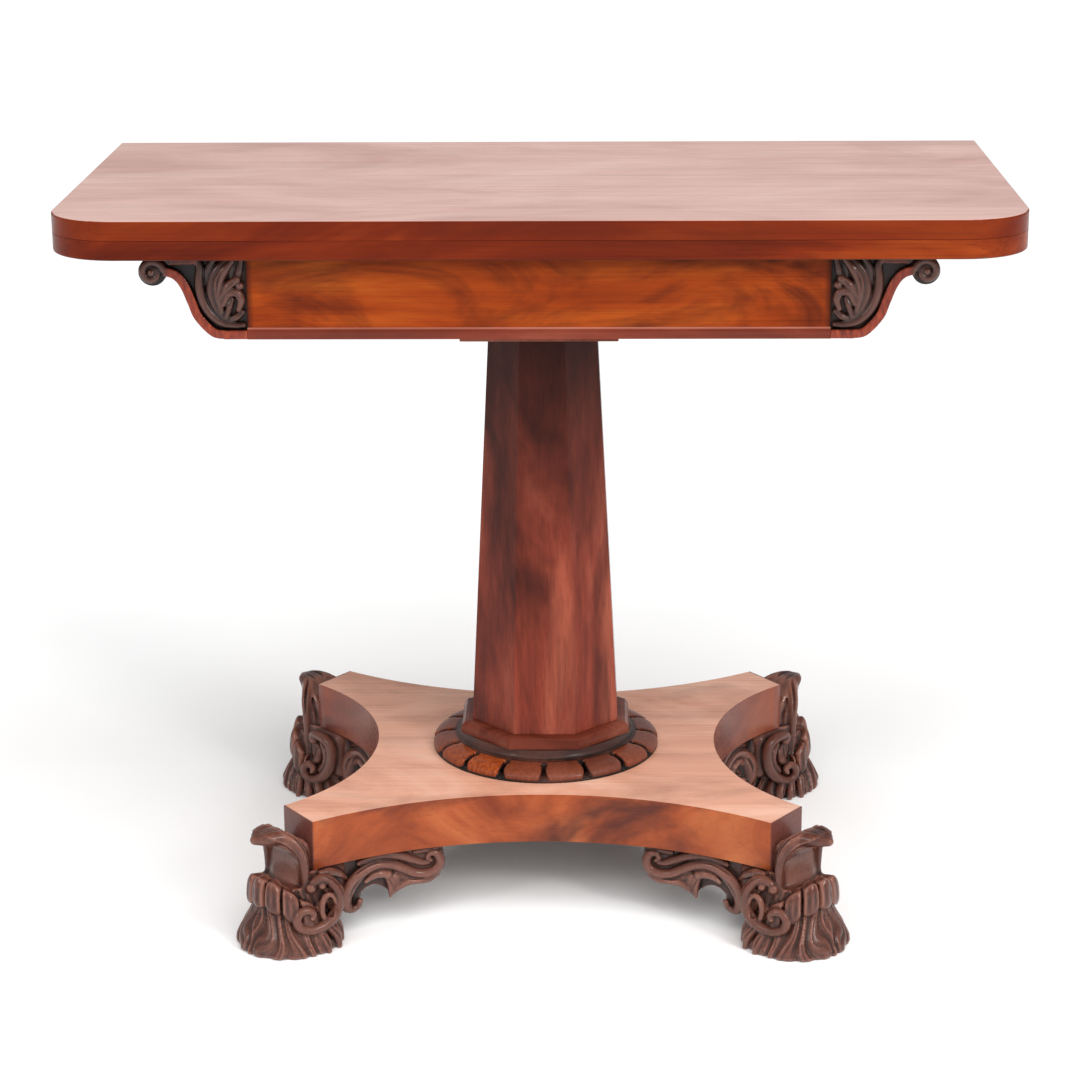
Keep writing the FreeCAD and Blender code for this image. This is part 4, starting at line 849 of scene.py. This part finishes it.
# widths of the worn round on solids that stay visible
SOFT_EDGES = {
    "platform": 1.2,
    "column": 1.0,
    "octagon_moulding": 0.8,
    "frieze_front": 0.6,
    "frieze_back": 0.6,
    "frieze_end_left": 0.6,
    "frieze_end_right": 0.6,
    "column_bearer": 0.8,
}
WELD_DISTANCE = 0.00002
SHARP_ANGLE = 40


def soften_edges(node, width):
    """Small worn round along the sharp edges of a solid."""
    join = node.modifiers.new("joined", "WELD")
    join.merge_threshold = WELD_DISTANCE
    round_over = node.modifiers.new("worn_edges", "BEVEL")
    round_over.width = width * MM
    round_over.segments = 3
    round_over.limit_method = "ANGLE"
    round_over.angle_limit = math.radians(SHARP_ANGLE)
    round_over.harden_normals = False


for name, node in nodes.items():
    node.data.materials.clear()
    node.data.materials.append(finish_for(name))
    if name in SOFT_EDGES:
        soften_edges(node, SOFT_EDGES[name])

SIDES = ((1, "right"), (-1, "left"))
DEPTHS = ((1, "back"), (-1, "front"))

foot = foot_surface()
long_wing = wing_surface(LONG_WING[1])
side_wing = wing_surface(SIDE_WING[1])
for side, side_word in SIDES:
    for depth, depth_word in DEPTHS:
        spot = f"{depth_word}_{side_word}"
        carved(f"carved_foot_{spot}", foot, foot_place(side, depth), foot_wood,
               f"foot_{spot}")
        carved(f"carved_wing_{spot}", long_wing, long_place(side, depth), foot_wood,
               f"wing_{spot}")
        spot = f"{side_word}_{depth_word}"
        carved(f"carved_wing_{spot}", side_wing, side_place(side, depth), foot_wood,
               f"wing_{spot}")

bracket, rim_mask = bracket_surface()
for side, side_word in SIDES:
    carved(f"carved_bracket_{side_word}", bracket, bracket_place(side), bracket_wood,
           f"bracket_{side_word}", rim_mask)
collar, petal_tints = collar_surface()
carved("petal_collar", collar, collar_place, collar_wood, "carved_collar", petal_tints)


# hinge screws

SCREW_RADIUS = 3.2
SCREW_SLOT = 0.5  # half the slot's width
SCREW_ASIDE = 20  # from the hinge's middle
SCREW_RISE = 8.6  # from the hinge's pin
SCREW_RINGS = ((0.5, -0.9), (0.0, 0.0), (0.12, 0.06))  # inset and level of each ring, from the wood outwards


def half_disc(way):
    """Corners of one half of a slotted screw head."""
    reach = math.sqrt(SCREW_RADIUS**2 - SCREW_SLOT**2)
    start = math.atan2(SCREW_SLOT, reach)
    angles = np.linspace(start, math.pi - start, 14)
    return [(SCREW_RADIUS * math.cos(a), way * SCREW_RADIUS * math.sin(a)) for a in angles]


def screw_heads(name, body, height):
    """Slotted countersunk heads in both hinge plates of one leaf, flush with the plate."""
    points, faces = [], []
    for side in (-1, 1):
        for way in (-1, 1):
            for half in (-1, 1):
                rim = half_disc(half)
                first = len(points)
                centre = side * HINGE_X + way * SCREW_ASIDE
                for inset, level in SCREW_RINGS:
                    scale = 1 - inset / SCREW_RADIUS
                    points += [(centre + x * scale, LEAF_BACK + level, height + z * scale) for x, z in rim]
                count = len(rim)
                faces.append([first + i for i in range(count)])
                faces.append([first + 2 * count + i for i in reversed(range(count))])
                for ring in (0, count):
                    for i in range(count):
                        j = (i + 1) % count
                        faces.append([first + ring + j, first + ring + i, first + ring + count + i,
                                      first + ring + count + j])
    mesh = bpy.data.meshes.new(name)
    mesh.from_pydata((np.array(points) * MM).tolist(), [], faces)
    mesh.materials.append(brass)
    piece = linked(name, mesh)
    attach(piece, body)


screw_heads("hinge_screw_heads_lower", "swivel_top", HINGE_Z - SCREW_RISE)
screw_heads("hinge_screw_heads_upper", "fold_leaf", HINGE_Z + SCREW_RISE)


# floor, light and camera

AMBIENT = 0.4  # strength of the white surroundings as light
BACKDROP = 1.05  # and as the camera sees them
SUN_WAY = (-0.24, 0.85, -1.0)
SUN_STRENGTH = 3.0
SUN_SPREAD = 70
LAMP_TARGET = (0, 0, 0.4)
LAMP_SIZE = (0.5, 0.6)

# camera fitted to the edges in the photograph: radians, metres, and millimetres for the lens
CAMERA_PITCH = 0.2986
CAMERA_SWING = 0.0221
CAMERA_ROLL = -0.0064
CAMERA_PLACE = (0.0606, -2.7425, 1.1968)
CAMERA_LENS = 92.78
CAMERA_SENSOR = 36
CAMERA_SHIFT = -0.0042
CAMERA_END = 60


def add_floor():
    mesh = bpy.data.meshes.new("studio_floor")
    half = FLOOR_SIZE / 2
    corners = [(-half, -half, 0), (half, -half, 0), (half, half, 0), (-half, half, 0)]
    mesh.from_pydata(corners, [], [(0, 1, 2, 3)])
    mesh.materials.append(floor_material())
    floor = linked("studio_floor", mesh)


def add_world():
    """White backdrop for the camera, softer light for the object."""
    world = bpy.data.worlds.new("studio")
    world.use_nodes = True
    tree = world.node_tree
    sky = tree.nodes["Background"]
    sky.inputs["Color"].default_value = (1.0, 1.0, 1.0, 1.0)
    path = tree.nodes.new("ShaderNodeLightPath")
    level = tree.nodes.new("ShaderNodeMapRange")
    level.inputs["To Min"].default_value = AMBIENT
    level.inputs["To Max"].default_value = BACKDROP
    tree.links.new(path.outputs["Is Camera Ray"], level.inputs["Value"])
    tree.links.new(level.outputs["Result"], sky.inputs["Strength"])
    bpy.context.scene.world = world


def aimed(name, lamp, way):
    """Lamp in the scene that shines along a direction."""
    holder = linked(name, lamp)
    holder.rotation_euler = Vector(way).to_track_quat("-Z", "Y").to_euler()
    return holder


def add_sun():
    """Broad overhead light, left out of reflections."""
    lamp = bpy.data.lights.new("overhead", "SUN")
    lamp.energy = SUN_STRENGTH
    lamp.angle = math.radians(SUN_SPREAD)
    aimed("overhead", lamp, SUN_WAY).visible_glossy = False


def add_lamp(name, place, power, colour):
    lamp = bpy.data.lights.new(name, "AREA")
    lamp.shape = "RECTANGLE"
    lamp.size, lamp.size_y = LAMP_SIZE
    lamp.energy = power
    lamp.color = colour
    aimed(name, lamp, Vector(LAMP_TARGET) - Vector(place)).location = place


def add_camera():
    level = math.cos(CAMERA_PITCH)
    ahead = Vector((-math.sin(CAMERA_SWING) * level, math.cos(CAMERA_SWING) * level, -math.sin(CAMERA_PITCH)))
    right = Vector((math.cos(CAMERA_SWING), math.sin(CAMERA_SWING), 0))
    up = right.cross(ahead)
    side = right * math.cos(CAMERA_ROLL) + up * math.sin(CAMERA_ROLL)
    top = up * math.cos(CAMERA_ROLL) - right * math.sin(CAMERA_ROLL)
    lens = bpy.data.cameras.new("photograph_camera")
    lens.sensor_width = CAMERA_SENSOR
    lens.lens = CAMERA_LENS
    lens.shift_x = CAMERA_SHIFT
    lens.clip_end = CAMERA_END
    camera = linked("photograph_camera", lens)
    turn = Matrix((side, top, -ahead)).transposed().to_4x4()
    camera.matrix_world = Matrix.Translation(CAMERA_PLACE) @ turn
    bpy.context.scene.camera = camera


add_floor()
add_world()
add_sun()
add_lamp("key", (1.9, -2.2, 1.7), 24, (1.0, 0.98, 0.95))
add_lamp("fill", (-2.0, -2.0, 1.6), 12, (1.0, 0.99, 0.97))
add_camera()
bpy.context.scene.view_settings.view_transform = "Standard"

bpy.context.view_layer.update()
